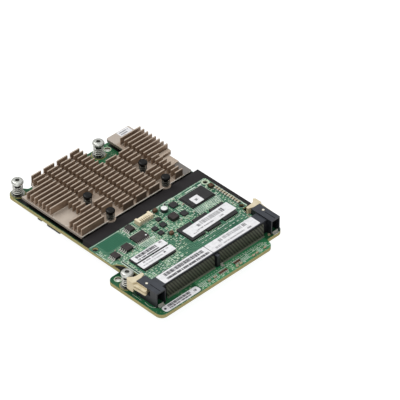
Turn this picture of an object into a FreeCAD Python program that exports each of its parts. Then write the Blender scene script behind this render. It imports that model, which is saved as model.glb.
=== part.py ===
import FreeCAD, Part
import math
import os
import re
import Sketcher
from FreeCAD import Vector, Placement, Rotation

# A server mezzanine drive-controller card: main board, finned heat sink on four
# sprung push pins, a cache module in a right-angle socket, three captive spring
# screws and a mezzanine connector below.
# Frame: +X along the socket, +Y from the socket edge to the heat-sink edge, +Z up.
# Origin: middle of the bounding box at the level of the mezzanine connector's face.

doc = FreeCAD.newDocument("controller_card")
sheet = doc.addObject("Spreadsheet::Sheet", "dims")
DIM = {}
_row = [1]


def dim(alias, value, note=""):
    r = _row[0]
    sheet.set("A%d" % r, alias)
    sheet.set("B%d" % r, "%.6g" % value)
    sheet.setAlias("B%d" % r, alias)
    if note:
        sheet.set("C%d" % r, note)
    DIM[alias] = float(value)
    _row[0] += 1


# --- main board -----------------------------------------------------------
dim("board_z", 7.6, "underside of the board")
dim("board_thick", 2.4, "board thickness")
dim("board_top", 10.0, "component side of the board")
dim("board_left", -40.3, "left edge behind the ear")
dim("board_right", 50.4, "right edge")
dim("board_rear", 64.6, "rear edge")
dim("board_front", -70.0, "front edge")
dim("ear_left", -51.4, "left edge of the front ear")
dim("ear_rear", -26.2, "rear edge of the front ear")
dim("step_left", 37.4, "where the front edge steps back")
dim("step_front", -64.0, "front edge right of the step")
dim("tab_rear", 70.0, "rear edge of the screw tab")
dim("tab_right", -30.2, "right side of the screw tab")
# --- captive screws -------------------------------------------------------
dim("screw_one_x", -35.7)
dim("screw_one_y", 65.4)
dim("screw_two_x", 22.1)
dim("screw_two_y", 59.4)
dim("screw_three_x", -46.5)
dim("screw_three_y", -37.65)
dim("guide_one_x", 29.4, "guide hole beside the rear right screw")
dim("guide_one_y", 59.8)
dim("guide_two_x", -46.6, "guide hole beside the front screw")
dim("guide_two_y", -30.2)
dim("guide_dia", 3.6)
dim("screw_hole_dia", 5.6, "board hole round a ferrule")
dim("flange_dia", 8.2, "ferrule flange")
dim("flange_thick", 0.7)
dim("ferrule_bore", 3.7)
dim("foot_dia", 6.2, "swaged foot under the board")
dim("foot_z", 7.0, "underside of the swaged foot")
dim("shank_dia", 3.5, "screw thread outside diameter")
dim("head_dia", 7.2)
dim("head_high", 2.1)
dim("head_top", 20.2, "top of the screw head, screw up")
dim("collar_dia", 5.0)
dim("collar_high", 0.9)
dim("screw_tip", 4.9, "end of the thread, screw up")
dim("screw_travel", 2.8, "free height that the spring gives up")
dim("spring_dia", 6.2, "outside diameter of the screw spring")
dim("spring_wire", 0.6)
dim("spring_turns", 4.5)
dim("clip_dia", 4.8)
dim("clip_thick", 0.5)
dim("clip_z", 6.4, "retaining ring under the ferrule")
# --- heat sink ------------------------------------------------------------
dim("sink_left", -39.5)
dim("sink_right", 49.8, "right edge behind the step")
dim("sink_right_front", 46.9, "right edge in front of the step")
dim("sink_step_y", 28.4, "where the right edge steps")
dim("sink_front", 6.7)
dim("sink_rear", 63.4)
dim("sink_z", 12.7, "underside of the base")
dim("sink_base", 1.9, "base thickness")
dim("fin_high", 5.2)
dim("fin_thick", 0.75)
dim("fin_pitch", 3.27)
dim("fin_count", 18)
dim("cut_first", -20.0, "left side of the first cross cut")
dim("cut_wide", 2.3)
dim("cut_pitch", 10.3)
dim("cut_count", 6)
dim("notch_left", 10.6)
dim("notch_right", 32.0)
dim("notch_front", 47.0)
dim("corner_relief", 8.6, "radius of the relief round the rear left screw")
dim("pin_left", -16.9)
dim("pin_right", 26.5)
dim("pin_front", 7.4)
dim("pin_rear", 26.4)
dim("pin_pocket", 5.3, "radius cleared of fins round a push pin")
dim("pin_lug", 3.1, "radius of the lug round a front push pin")
dim("pin_hole", 3.4)
dim("pin_head_dia", 5.4)
dim("pin_head_high", 1.9)
dim("pin_head_z", 19.6)
dim("pin_shank", 3.0)
dim("pin_foot_z", 5.6)
# --- processor ------------------------------------------------------------
dim("cpu_x", 5.95)
dim("cpu_y", 18.15)
dim("cpu_size", 21.0)
dim("cpu_high", 2.4)
dim("pad_thick", 0.3)
# --- insulator ------------------------------------------------------------
dim("film_left", -40.3)
dim("film_right", 50.4)
dim("film_front", -39.4)
dim("film_rear", 5.4)
dim("film_top", 14.2)
dim("film_thick", 0.7)
# --- socket ---------------------------------------------------------------
dim("sock_half", 41.4, "half of the width between the end towers")
dim("tower_out", 48.2, "outer face of an end tower from the middle")
dim("sock_front", -59.2)
dim("sock_rear", -50.9)
dim("tower_front", -63.0)
dim("tower_rear", -46.9)
dim("sock_high", 9.1)
dim("tower_high", 10.1)
dim("mouth_high", 1.4)
dim("mouth_mid", 5.9, "middle of the card slot above the board")
dim("mouth_deep", 5.2)
dim("contact_pitch", 0.6)
dim("contact_wide", 0.32)
dim("contact_left", 62)
dim("contact_right", 59)
dim("key_x", 0.9, "middle of the key rib")
dim("hook_y", -44.2, "middle of the latch notches in the module")
dim("latch_pivot_x", 45.6)
dim("latch_pivot_y", -52.3)
dim("latch_pivot_dia", 1.6)
dim("latch_z", 15.3)
dim("latch_high", 4.2)
dim("fork_high", 3.0, "height of the latch's outer arm")
dim("thumb_z", 12.8, "underside of the thumb tab")
dim("latch_swing", 20, "degrees from closed to open")
# --- cache module ---------------------------------------------------------
dim("mod_top", 16.4)
dim("mod_thick", 1.0)
dim("mod_left", -45.8)
dim("mod_right", 45.8)
dim("mod_rear", -4.8)
dim("mod_half", 41.0, "half of the plug width")
dim("mod_front", -55.7)
dim("wing_right_front", -40.2)
dim("wing_left_front", -24.6)
dim("mod_hole_x", 43.1)
dim("mod_hole_y", -8.1)
dim("mod_hole_dia", 3.0)
# --- mezzanine connector ----------------------------------------------------
dim("mezz_x", 6.0)
dim("mezz_y", -4.2)
dim("mezz_long", 58.0)
dim("mezz_wide", 19.6)

doc.recompute()
WORD = re.compile(r"[A-Za-z_][A-Za-z_0-9]*")
NODES = {}


def bind(obj, prop, value):
    """set a property from a number, or bind it to the sheet from a formula"""
    if isinstance(value, str):
        obj.setExpression(prop, WORD.sub(lambda m: "dims." + m.group(0) if m.group(0) in DIM else m.group(0), value))
    elif "." in prop:
        obj.setExpression(prop, repr(float(value)))
    else:
        setattr(obj, prop, value)


def val(e):
    """the present value of a number or of a formula"""
    return float(eval_formula(e)) if isinstance(e, str) else float(e)


def eval_formula(text):
    # formulas hold only sheet names, numbers, + - * / and brackets
    toks = re.findall(r"[A-Za-z_][A-Za-z_0-9]*|[0-9.]+|[()+\-*/]", text)
    pos = [0]

    def peek():
        return toks[pos[0]] if pos[0] < len(toks) else None

    def take():
        pos[0] += 1
        return toks[pos[0] - 1]

    def atom():
        tk = take()
        if tk == "(":
            v = total()
            take()
            return v
        if tk == "-":
            return -atom()
        return DIM[tk] if tk in DIM else float(tk)

    def product():
        v = atom()
        while peek() in ("*", "/"):
            v = v * atom() if take() == "*" else v / atom()
        return v

    def total():
        v = product()
        while peek() in ("+", "-"):
            v = v + product() if take() == "+" else v - product()
        return v

    return total()


def keep(obj, label):
    obj.Label = label
    NODES[label] = obj
    return obj


def box(name, x, y, z, lx, ly, lz):
    o = doc.addObject("Part::Box", name)
    bind(o, "Length", lx)
    bind(o, "Width", ly)
    bind(o, "Height", lz)
    bind(o, "Placement.Base.x", x)
    bind(o, "Placement.Base.y", y)
    bind(o, "Placement.Base.z", z)
    return o


def cyl(name, x, y, z, r, h):
    o = doc.addObject("Part::Cylinder", name)
    bind(o, "Radius", r)
    bind(o, "Height", h)
    bind(o, "Placement.Base.x", x)
    bind(o, "Placement.Base.y", y)
    bind(o, "Placement.Base.z", z)
    return o


def fuse(name, *objs):
    o = doc.addObject("Part::MultiFuse", name)
    o.Shapes = list(objs)
    o.Refine = True
    return o


def group(name, *objs):
    o = doc.addObject("Part::Compound", name)
    o.Links = list(objs)
    return o


def cut(name, base, tool):
    o = doc.addObject("Part::Cut", name)
    o.Base = base
    o.Tool = tool
    o.Refine = True
    return o


def body(name):
    return doc.addObject("PartDesign::Body", name)


def origin_plane(b, role):
    for f in b.Origin.OriginFeatures:
        if f.Role == role:
            return f
    raise RuntimeError(role)


def sketch(b, name, role="XY_Plane", height=0):
    sk = b.newObject("Sketcher::SketchObject", name)
    sk.AttachmentSupport = [(origin_plane(b, role), "")]
    sk.MapMode = "FlatFace"
    bind(sk, "AttachmentOffset.Base.z", height)
    return sk


def add_poly(sk, pts):
    """closed outline: every corner is held by two driving distances"""
    n = len(pts)
    base = sk.GeometryCount
    P = [Vector(val(a), val(c), 0) for a, c in pts]
    for i in range(n):
        sk.addGeometry(Part.LineSegment(P[i], P[(i + 1) % n]), False)
    for i in range(n):
        sk.addConstraint(Sketcher.Constraint("Coincident", base + i, 2, base + (i + 1) % n, 1))
    for i, (a, c) in enumerate(pts):
        for kind, e, v in (("DistanceX", a, P[i].x), ("DistanceY", c, P[i].y)):
            k = sk.addConstraint(Sketcher.Constraint(kind, -1, 1, base + i, 1, v))
            if isinstance(e, str):
                bind(sk, "Constraints[%d]" % k, e)


def add_rect(sk, x0, y0, x1, y1):
    add_poly(sk, [(x0, y0), (x1, y0), (x1, y1), (x0, y1)])


def add_circle(sk, x, y, r):
    g = sk.addGeometry(Part.Circle(Vector(val(x), val(y), 0), Vector(0, 0, 1), val(r)), False)
    for kind, e, v in (("DistanceX", x, val(x)), ("DistanceY", y, val(y))):
        k = sk.addConstraint(Sketcher.Constraint(kind, -1, 1, g, 3, v))
        if isinstance(e, str):
            bind(sk, "Constraints[%d]" % k, e)
    k = sk.addConstraint(Sketcher.Constraint("Radius", g, val(r)))
    if isinstance(r, str):
        bind(sk, "Constraints[%d]" % k, r)


def pad(b, sk, length, name, back=False):
    f = b.newObject("PartDesign::Pad", name)
    f.Profile = sk
    bind(f, "Length", length)
    f.Reversed = back
    b.Tip = f
    return f


def pocket(b, sk, length, name, through=False):
    """cuts down from the sketch plane"""
    f = b.newObject("PartDesign::Pocket", name)
    f.Profile = sk
    if through:
        f.Type = "ThroughAll"
    else:
        bind(f, "Length", length)
    b.Tip = f
    return f


def axis_of(b, role):
    return (origin_plane(b, role), [""])


def pattern(b, feat, role, length, count, name):
    lp = b.newObject("PartDesign::LinearPattern", name)
    lp.Originals = [feat]
    lp.Direction = axis_of(b, role)
    bind(lp, "Length", length)
    bind(lp, "Occurrences", count)
    b.Tip = lp
    return lp


def round_edges(b, radius, test, name, chamfer=False):
    """fillet or chamfer the edges of the tip that pass the test"""
    doc.recompute()
    tip = b.Tip
    names = ["Edge%d" % (i + 1) for i, e in enumerate(tip.Shape.Edges) if test(e)]
    f = b.newObject("PartDesign::Chamfer" if chamfer else "PartDesign::Fillet", name)
    f.Base = (tip, names)
    if chamfer:
        f.Size = radius
    else:
        f.Radius = radius
    b.Tip = f
    return f


def vertical_at(x, y, tol=0.3):
    def test(e):
        if len(e.Vertexes) != 2:
            return False
        p, q = e.Vertexes[0].Point, e.Vertexes[1].Point
        return abs(p.x - q.x) < 1e-4 and abs(p.y - q.y) < 1e-4 and any(
            abs(p.x - val(a)) < tol and abs(p.y - val(c)) < tol for a, c in zip(x, y))
    return test


def revolve(name, pts):
    """a turned piece: (radius, height) corners on the XZ plane, turned about Z"""
    b = body(name)
    sk = sketch(b, name + "_profile", "XZ_Plane")
    add_poly(sk, pts)
    f = b.newObject("PartDesign::Revolution", name + "_turn")
    f.Profile = sk
    f.ReferenceAxis = (origin_plane(b, "Z_Axis"), [""])
    f.Angle = 360
    b.Tip = f
    return b


def place(obj, x, y, z=0):
    bind(obj, "Placement.Base.x", x)
    bind(obj, "Placement.Base.y", y)
    bind(obj, "Placement.Base.z", z)


def feature(label, shape):
    o = doc.addObject("Part::Feature", label)
    o.Shape = shape
    return keep(o, label)


def blk(x0, y0, z0, x1, y1, z1):
    return Part.makeBox(x1 - x0, y1 - y0, z1 - z0, Vector(x0, y0, z0))


TOP = DIM["board_top"]
MOD = DIM["mod_top"]

# === main board =============================================================
b = body("main_board")
sk = sketch(b, "board_outline", height="board_z")
add_poly(sk, [
    ("ear_left", "board_front"), ("step_left - 2.2", "board_front"), ("step_left", "step_front"),
    ("board_right", "step_front"), ("board_right", "board_rear"), ("tab_right + 1.8", "board_rear"),
    ("tab_right - 2.4", "tab_rear"), ("board_left", "tab_rear"), ("board_left", "ear_rear"),
    ("ear_left", "ear_rear")])
pad(b, sk, "board_thick", "board_pad")
doc.recompute()
round_edges(b, 4.2, vertical_at(["ear_left", "ear_left", "board_left", "step_left - 2.2", "board_right"],
                                ["board_front", "ear_rear", "tab_rear", "board_front", "step_front"]), "board_corners")
round_edges(b, 1.6, vertical_at(["board_left", "board_right", "tab_right + 1.8", "tab_right - 2.4"],
                                ["ear_rear", "board_rear", "board_rear", "tab_rear"]), "board_small_corners")
sk = sketch(b, "board_holes", height="board_top")
for i in ("one", "two", "three"):
    add_circle(sk, "screw_%s_x" % i, "screw_%s_y" % i, "screw_hole_dia / 2")
for i in ("one", "two"):
    add_circle(sk, "guide_%s_x" % i, "guide_%s_y" % i, "guide_dia / 2")
for px in ("pin_left", "pin_right"):
    for py in ("pin_front", "pin_rear"):
        add_circle(sk, px, py, "pin_hole / 2")
pocket(b, sk, 0, "board_drill", through=True)
keep(b, "main_board")

# === heat sink ==============================================================
b = body("sink_plate")
sk = sketch(b, "sink_outline", height="sink_z")
add_poly(sk, [
    ("sink_left", "sink_front"), ("sink_right_front", "sink_front"), ("sink_right_front", "sink_step_y"),
    ("sink_right", "sink_step_y"), ("sink_right", "sink_rear"),
    ("notch_right", "sink_rear"), ("notch_right", "notch_front"), ("notch_left", "notch_front"),
    ("notch_left", "sink_rear"), ("sink_left", "sink_rear")])
pad(b, sk, "sink_base", "sink_base_pad")
doc.recompute()
round_edges(b, 3.0, vertical_at(["notch_left", "notch_right"], ["notch_front", "notch_front"]), "notch_corners")
round_edges(b, 0.8, vertical_at(["sink_left", "sink_right_front", "sink_right", "sink_right", "notch_right"],
                                ["sink_front", "sink_front", "sink_step_y", "sink_rear", "sink_rear"]), "sink_corners")
sk = sketch(b, "lugs", height="sink_z")
for px in ("pin_left", "pin_right"):
    add_circle(sk, px, "pin_front", "pin_lug")
pad(b, sk, "sink_base", "lug_pad")
sk = sketch(b, "sink_step", height="sink_z + sink_base - 0.2")
add_rect(sk, "sink_right_front - 6.2", "sink_front + 10.6", "sink_right_front - 0.3", "sink_step_y - 2.6")
pad(b, sk, "1.2", "sink_step_pad")
sk = sketch(b, "sink_boss", height="sink_z + sink_base - 0.2")
add_rect(sk, "sink_right_front - 6.4", "sink_step_y - 2.4", "sink_right - 0.5", "sink_step_y + 0.6")
pad(b, sk, "2.6", "sink_boss_pad")
doc.recompute()
round_edges(b, 1.1, vertical_at(["sink_right - 0.5", "sink_right_front - 6.4"], ["sink_step_y - 2.4", "sink_step_y - 2.4"]), "boss_corners")
sk = sketch(b, "sink_holes", height="sink_z + sink_base + 2")
add_circle(sk, "screw_one_x", "screw_one_y", "corner_relief")
for px in ("pin_left", "pin_right"):
    for py in ("pin_front", "pin_rear"):
        add_circle(sk, px, py, "pin_hole / 2")
pocket(b, sk, 0, "sink_drill", through=True)


def fin_segments():
    """x spans of every fin row: cross cuts, bare fields, pin pockets and screw reliefs taken out"""
    D = DIM
    out = []
    bare = [
        (D["sink_left"] - 1, D["sink_front"] + 11.6, D["sink_left"] + 11.4, D["sink_front"] + 26.2),
        (39.6, D["sink_front"] - 1, D["sink_right"] + 1, D["sink_front"] + 22.5),
        (D["cut_first"] + 5 * D["cut_pitch"], D["sink_front"] + 48.6, D["sink_right"] + 1, D["sink_rear"] + 1),
        (D["sink_left"] - 1, D["sink_front"] + 48.6, D["sink_left"] + 11.0, D["sink_rear"] + 1),
        (D["notch_left"] - 0.6, D["notch_front"] - 0.6, D["notch_right"] + 0.8, D["sink_rear"] + 1)]
    rings = [(D[px], D[py], D["pin_pocket"]) for px in ("pin_left", "pin_right") for py in ("pin_front", "pin_rear")]
    rings.append((D["screw_one_x"], D["screw_one_y"], D["corner_relief"] + 0.3))
    for k in range(int(D["fin_count"])):
        y0 = D["sink_front"] + 0.15 + k * D["fin_pitch"]
        y1 = y0 + D["fin_thick"]
        spans = [(D["sink_left"] + 0.05, D["sink_right"] - 0.05)]
        holes = [(D["cut_first"] + i * D["cut_pitch"], D["cut_first"] + i * D["cut_pitch"] + D["cut_wide"]) for i in range(int(D["cut_count"]))]
        holes += [(x0, x1) for x0, c0, x1, c1 in bare if y1 > c0 and y0 < c1]
        for cx, cy, r in rings:
            dy = 0 if y0 <= cy <= y1 else min(abs(y0 - cy), abs(y1 - cy))
            if dy < r:
                w = math.sqrt(r * r - dy * dy)
                holes.append((cx - w, cx + w))
        for h0, h1 in holes:
            spans = [q for p in spans for q in ((p[0], min(p[1], h0)), (max(p[0], h1), p[1])) if q[1] - q[0] > 3.0]
        out += [(p[0], y0, p[1], y1) for p in spans]
    return out


z0 = DIM["sink_z"] + DIM["sink_base"] - 0.1
z1 = DIM["sink_z"] + DIM["sink_base"] + DIM["fin_high"]
fins = doc.addObject("Part::Feature", "sink_fins")
fins.Shape = Part.makeCompound([blk(x0, y0, z0, x1, y1, z1) for x0, y0, x1, y1 in fin_segments()])
f = fuse("sink_whole", b, fins)
f.Refine = False
keep(f, "heat_sink")

# === processor and its pad =====================================================
sub = box("cpu_substrate", "cpu_x - cpu_size / 2", "cpu_y - cpu_size / 2", "board_top", "cpu_size", "cpu_size", 1.0)
lid = box("cpu_lid", "cpu_x - cpu_size / 2 + 2", "cpu_y - cpu_size / 2 + 2", "board_top + 0.9", "cpu_size - 4", "cpu_size - 4", "cpu_high - 0.9")
keep(fuse("processor_body", sub, lid), "raid_processor")
keep(box("pad_block", "cpu_x - 8", "cpu_y - 8", "board_top + cpu_high", 16, 16, "pad_thick"), "thermal_pad")
gap = DIM["sink_z"] - (DIM["board_top"] + DIM["cpu_high"] + DIM["pad_thick"])
assert abs(gap) < 1e-6

# === push pins: mushroom head, split shank, barbs below the board, coil spring ===
pins, springs = [], []
for i, (px, py) in enumerate([("pin_left", "pin_front"), ("pin_right", "pin_front"), ("pin_left", "pin_rear"), ("pin_right", "pin_rear")]):
    b = revolve("push_pin_%d" % i, [
        (0, "pin_foot_z"), (0.9, "pin_foot_z"), (1.45, "pin_foot_z + 0.9"), ("2.15", "board_z - 0.35"), ("2.15", "board_z - 0.05"),
        (1.35, "board_z - 0.05"), (1.35, "pin_head_z"), ("pin_head_dia / 2 - 0.3", "pin_head_z"),
        ("pin_head_dia / 2", "pin_head_z + 0.3"), ("pin_head_dia / 2", "pin_head_z + 1.3"),
        ("pin_head_dia / 2 - 0.3", "pin_head_z + pin_head_high - 0.25"), ("pin_head_dia / 2 - 0.8", "pin_head_z + pin_head_high"), (0, "pin_head_z + pin_head_high")])
    sk = sketch(b, "pin_split_%d" % i, height="board_z + 0.6")
    add_rect(sk, -0.25, -3, 0.25, 3)
    pocket(b, sk, 3.5, "pin_split_cut_%d" % i)
    # the barbs stand out to the left and right only
    sk = sketch(b, "pin_flats_%d" % i, height="board_z")
    add_rect(sk, -3, -3, 3, -1.6)
    add_rect(sk, -3, 1.6, 3, 3)
    pocket(b, sk, 3, "pin_flats_cut_%d" % i)
    place(b, px, py)
    pins.append(b)
keep(group("push_pin_group", *pins), "push_pins")


def coil(name, x, y, z, radius, wire, height, turns):
    h = doc.addObject("Part::Helix", name + "_line")
    bind(h, "Height", height)
    bind(h, "Radius", radius)
    bind(h, "Pitch", "(%s) / (%s)" % (height, turns))
    # one edge for each turn, so that the swept wire stays true to the helix
    h.SegmentLength = 1
    doc.recompute()
    c = doc.addObject("Part::Circle", name + "_section")
    bind(c, "Radius", wire)
    bind(c, "Placement.Base.x", radius)
    c.setExpression("Placement.Rotation.Angle", "90")
    c.setExpression("Placement.Rotation.Axis.x", "1")
    c.setExpression("Placement.Rotation.Axis.y", "0")
    c.setExpression("Placement.Rotation.Axis.z", "0")
    s = doc.addObject("Part::Sweep", name)
    s.Sections = [c]
    s.Spine = (h, ["Edge%d" % (k + 1) for k in range(len(h.Shape.Edges))])
    s.Solid = True
    s.Frenet = True
    place(s, x, y, z)
    return s


for i, (px, py) in enumerate([("pin_left", "pin_front"), ("pin_right", "pin_front"), ("pin_left", "pin_rear"), ("pin_right", "pin_rear")]):
    springs.append(coil("pin_spring_%d" % i, px, py, "sink_z + sink_base + 0.28", "2.2", "0.24",
                        "pin_head_z - sink_z - sink_base - 0.56", "3.5"))
keep(group("pin_spring_group", *springs), "push_pin_springs")

# === captive screws =============================================================
SCREWS = [("one", "rear_left"), ("two", "rear_right"), ("three", "front_left")]
ferrules = []
for i, where in SCREWS:
    x, y = "screw_%s_x" % i, "screw_%s_y" % i
    # ferrule: flange on the board, neck through it, swaged foot below
    b = revolve("ferrule_" + i, [
        ("ferrule_bore / 2", "foot_z"), ("foot_dia / 2", "foot_z"), ("foot_dia / 2", "board_z"),
        ("screw_hole_dia / 2", "board_z"), ("screw_hole_dia / 2", "board_top"),
        ("flange_dia / 2", "board_top"), ("flange_dia / 2", "board_top + flange_thick"),
        ("ferrule_bore / 2", "board_top + flange_thick")])
    place(b, x, y)
    ferrules.append(b)
    # screw: flanged head with a recess, collar, shank, threaded end with a groove for the ring
    b = revolve("screw_body_" + i, [
        (0, "screw_tip"), ("shank_dia / 2 - 0.5", "screw_tip"), ("shank_dia / 2", "screw_tip + 0.5"),
        ("shank_dia / 2", "clip_z - 0.05"), ("shank_dia / 2 - 0.4", "clip_z - 0.05"), ("shank_dia / 2 - 0.4", "clip_z + clip_thick + 0.05"),
        ("shank_dia / 2", "clip_z + clip_thick + 0.05"), ("shank_dia / 2", "head_top - head_high - collar_high"),
        ("collar_dia / 2", "head_top - head_high - collar_high"), ("collar_dia / 2", "head_top - head_high"),
        ("head_dia / 2 - 0.3", "head_top - head_high"), ("head_dia / 2", "head_top - head_high + 0.3"),
        ("head_dia / 2", "head_top - 0.9"), ("head_dia / 2 - 0.5", "head_top - 0.25"), ("head_dia / 2 - 1.3", "head_top"), (0, "head_top")])
    sk = sketch(b, "recess_" + i, height="head_top + 1")
    add_poly(sk, [("%.4f" % (1.45 * math.cos(math.radians(60 * k + 12))) if math.cos(math.radians(60 * k + 12)) >= 0 else "0 - %.4f" % (-1.45 * math.cos(math.radians(60 * k + 12))),
                   "%.4f" % (1.45 * math.sin(math.radians(60 * k + 12))) if math.sin(math.radians(60 * k + 12)) >= 0 else "0 - %.4f" % (-1.45 * math.sin(math.radians(60 * k + 12)))) for k in range(6)])
    pocket(b, sk, 2.6, "recess_cut_" + i)
    place(b, x, y)
    keep(b, "screw_" + where)
    # retaining ring in the groove, split at one side
    ring = cyl("ring_disc_" + i, 0, 0, "clip_z", "clip_dia / 2", "clip_thick")
    hole = cyl("ring_hole_" + i, 0, 0, "clip_z - 1", "shank_dia / 2 - 0.36", "clip_thick + 2")
    slot = box("ring_slot_" + i, 0, "0 - shank_dia / 2 + 0.5", "clip_z - 1", "clip_dia", "shank_dia - 1", "clip_thick + 2")
    r = cut("ring_cut_" + i, ring, fuse("ring_tool_" + i, hole, slot))
    place(r, x, y)
    keep(r, "screw_ring_" + where)
    s = coil("screw_coil_" + i, x, y, "board_top + flange_thick + spring_wire / 2 + 0.03", "spring_dia / 2 - spring_wire / 2", "spring_wire / 2",
             "head_top - head_high - collar_high - board_top - flange_thick - spring_wire - 0.06", "spring_turns")
    keep(s, "screw_spring_" + where)
keep(group("ferrule_group", *ferrules), "screw_ferrules")

# === insulator: a black sheet with turned-down side edges between board and module ===
b = body("insulator_sheet")
sk = sketch(b, "film_outline", height="film_top - film_thick")
add_poly(sk, [("film_left", "film_front"), ("film_right", "film_front"), ("film_right", "film_rear"), ("film_left", "film_rear")])
pad(b, sk, "film_thick", "film_pad")
sk = sketch(b, "film_sides", height="board_top")
add_rect(sk, "film_left", "film_front", "film_left + 0.8", "film_rear")
pad(b, sk, "film_top - board_top - 0.1", "film_side_left")
sk = sketch(b, "film_sides_right", height="board_top")
add_rect(sk, "film_right - 0.8", "film_front", "film_right", "film_rear")
pad(b, sk, "film_top - board_top - 0.1", "film_side_right")
# round cut-outs where the heat sink's lugs reach over the rear edge
sk = sketch(b, "film_lug_outline", height="film_top + 1")
for px in ("pin_left", "pin_right"):
    add_circle(sk, px, "pin_front", "pin_lug + 0.2")
pocket(b, sk, "3", "film_lug_cut")
keep(b, "insulator_sheet")

# === socket =======================================================================
b = body("socket_housing")
sk = sketch(b, "socket_bar", height="board_top")
add_rect(sk, "0 - sock_half", "sock_front", "sock_half", "sock_rear")
pad(b, sk, "sock_high", "socket_bar_pad")
for side, s in (("left", "0 - "), ("right", "")):
    sk = sketch(b, "tower_" + side, height="board_top")
    if side == "left":
        add_rect(sk, "0 - tower_out", "tower_front", "0 - sock_half + 0.01", "tower_rear")
    else:
        add_rect(sk, "sock_half - 0.01", "tower_front", "tower_out", "tower_rear")
    pad(b, sk, "tower_high", "tower_pad_" + side)
# hollow front of each tower
for side in ("left", "right"):
    x0, x1 = ("0 - tower_out + 0.6", "0 - sock_half - 0.6") if side == "left" else ("sock_half + 0.6", "tower_out - 0.6")
    sk = sketch(b, "tower_hollow_" + side, height="board_top + tower_high - 0.9")
    add_rect(sk, x0, "tower_front - 1", x1, "tower_front + 4.6")
    pocket(b, sk, "tower_high + 1", "tower_hollow_cut_" + side)
    # the latch slot is open at the tower's back and outer side
    x0, x1 = ("0 - tower_out - 1", "0 - sock_half - 0.8") if side == "left" else ("sock_half + 0.8", "tower_out + 1")
    sk = sketch(b, "latch_slot_" + side, height="latch_z + latch_high + 0.1")
    add_rect(sk, x0, "latch_pivot_y - 5.3", x1, "tower_rear + 1")
    pocket(b, sk, "latch_high + 0.2", "latch_slot_cut_" + side)
# groove along each tower top
for side in ("left", "right"):
    x0, x1 = ("0 - 45.2", "0 - 44.7") if side == "left" else ("44.7", "45.2")
    sk = sketch(b, "tower_groove_" + side, height="board_top + tower_high + 1")
    add_rect(sk, x0, "tower_front + 0.6", x1, "latch_pivot_y - 2.2")
    pocket(b, sk, "1.4", "tower_groove_cut_" + side)
# pivot holes for the latches
sk = sketch(b, "pivot_holes", height="board_top + tower_high + 1")
add_circle(sk, "0 - latch_pivot_x", "latch_pivot_y", "latch_pivot_dia / 2 + 0.05")
add_circle(sk, "latch_pivot_x", "latch_pivot_y", "latch_pivot_dia / 2 + 0.05")
pocket(b, sk, "tower_high + 1 - (latch_z - board_top) + 1", "pivot_hole_cut")
# mouth for the module's edge in two halves, either side of the key rib
sk = sketch(b, "socket_mouth", "XZ_Plane", height="0 - sock_rear - 1")
add_rect(sk, "0 - mod_half - 0.3", "board_top + mouth_mid - mouth_high / 2", "key_x - 0.55", "board_top + mouth_mid + mouth_high / 2")
add_rect(sk, "key_x + 0.55", "board_top + mouth_mid - mouth_high / 2", "mod_half + 0.3", "board_top + mouth_mid + mouth_high / 2")
f = b.newObject("PartDesign::Pocket", "socket_mouth_cut")
f.Profile = sk
bind(f, "Length", "mouth_deep + 1")
f.Reversed = True
b.Tip = f
# key post on the front face
sk = sketch(b, "key_post", height="board_top")
add_rect(sk, "key_x - 1.1", "sock_front - 2.4", "key_x + 1.1", "sock_front + 0.1")
pad(b, sk, "sock_high - 1.2", "key_post_pad")
keep(b, "socket_housing")

# contact comb: one bent blade per pad, in two runs with the key between them
D = DIM
cx = [-37.8 + D["contact_pitch"] * i for i in range(int(D["contact_left"]))]
cx += [37.8 - D["contact_pitch"] * i for i in range(int(D["contact_right"]))]
yf = D["sock_front"]
prof = [(yf, TOP + 8.05), (yf - 1.0, TOP + 7.9), (yf - 1.35, TOP + 0.2), (yf - 2.35, TOP + 0.2), (yf - 2.35, TOP),
        (yf - 1.1, TOP), (yf - 0.75, TOP + 7.65), (yf, TOP + 7.8)]
wire = Part.makePolygon([Vector(0, y, z) for y, z in prof + prof[:1]])
blade = Part.Face(wire).extrude(Vector(D["contact_wide"], 0, 0))
feature("socket_contacts", Part.makeCompound([blade.translated(Vector(x - D["contact_wide"] / 2, 0, 0)) for x in cx]))
# board locks: a flat tab in front of each tower and one beside the key post
tabs = []
for x0, x1, y0 in ((-47.0, -42.8, -64.2), (42.8, 47.0, -64.2), (D["key_x"] + 1.3, D["key_x"] + 3.2, yf - 4.2)):
    yb = D["tower_front"] + 0.5 if abs(x0) > 10 else yf - 2.5
    t = blk(x0, y0, TOP, x1, yb, TOP + 0.3).fuse(blk(x0, yb - 0.3, TOP, x1, yb, TOP + (1.5 if abs(x0) > 10 else 1.6)))
    tabs.append(t.removeSplitter())
feature("socket_solder_tabs", Part.makeCompound(tabs))

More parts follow.
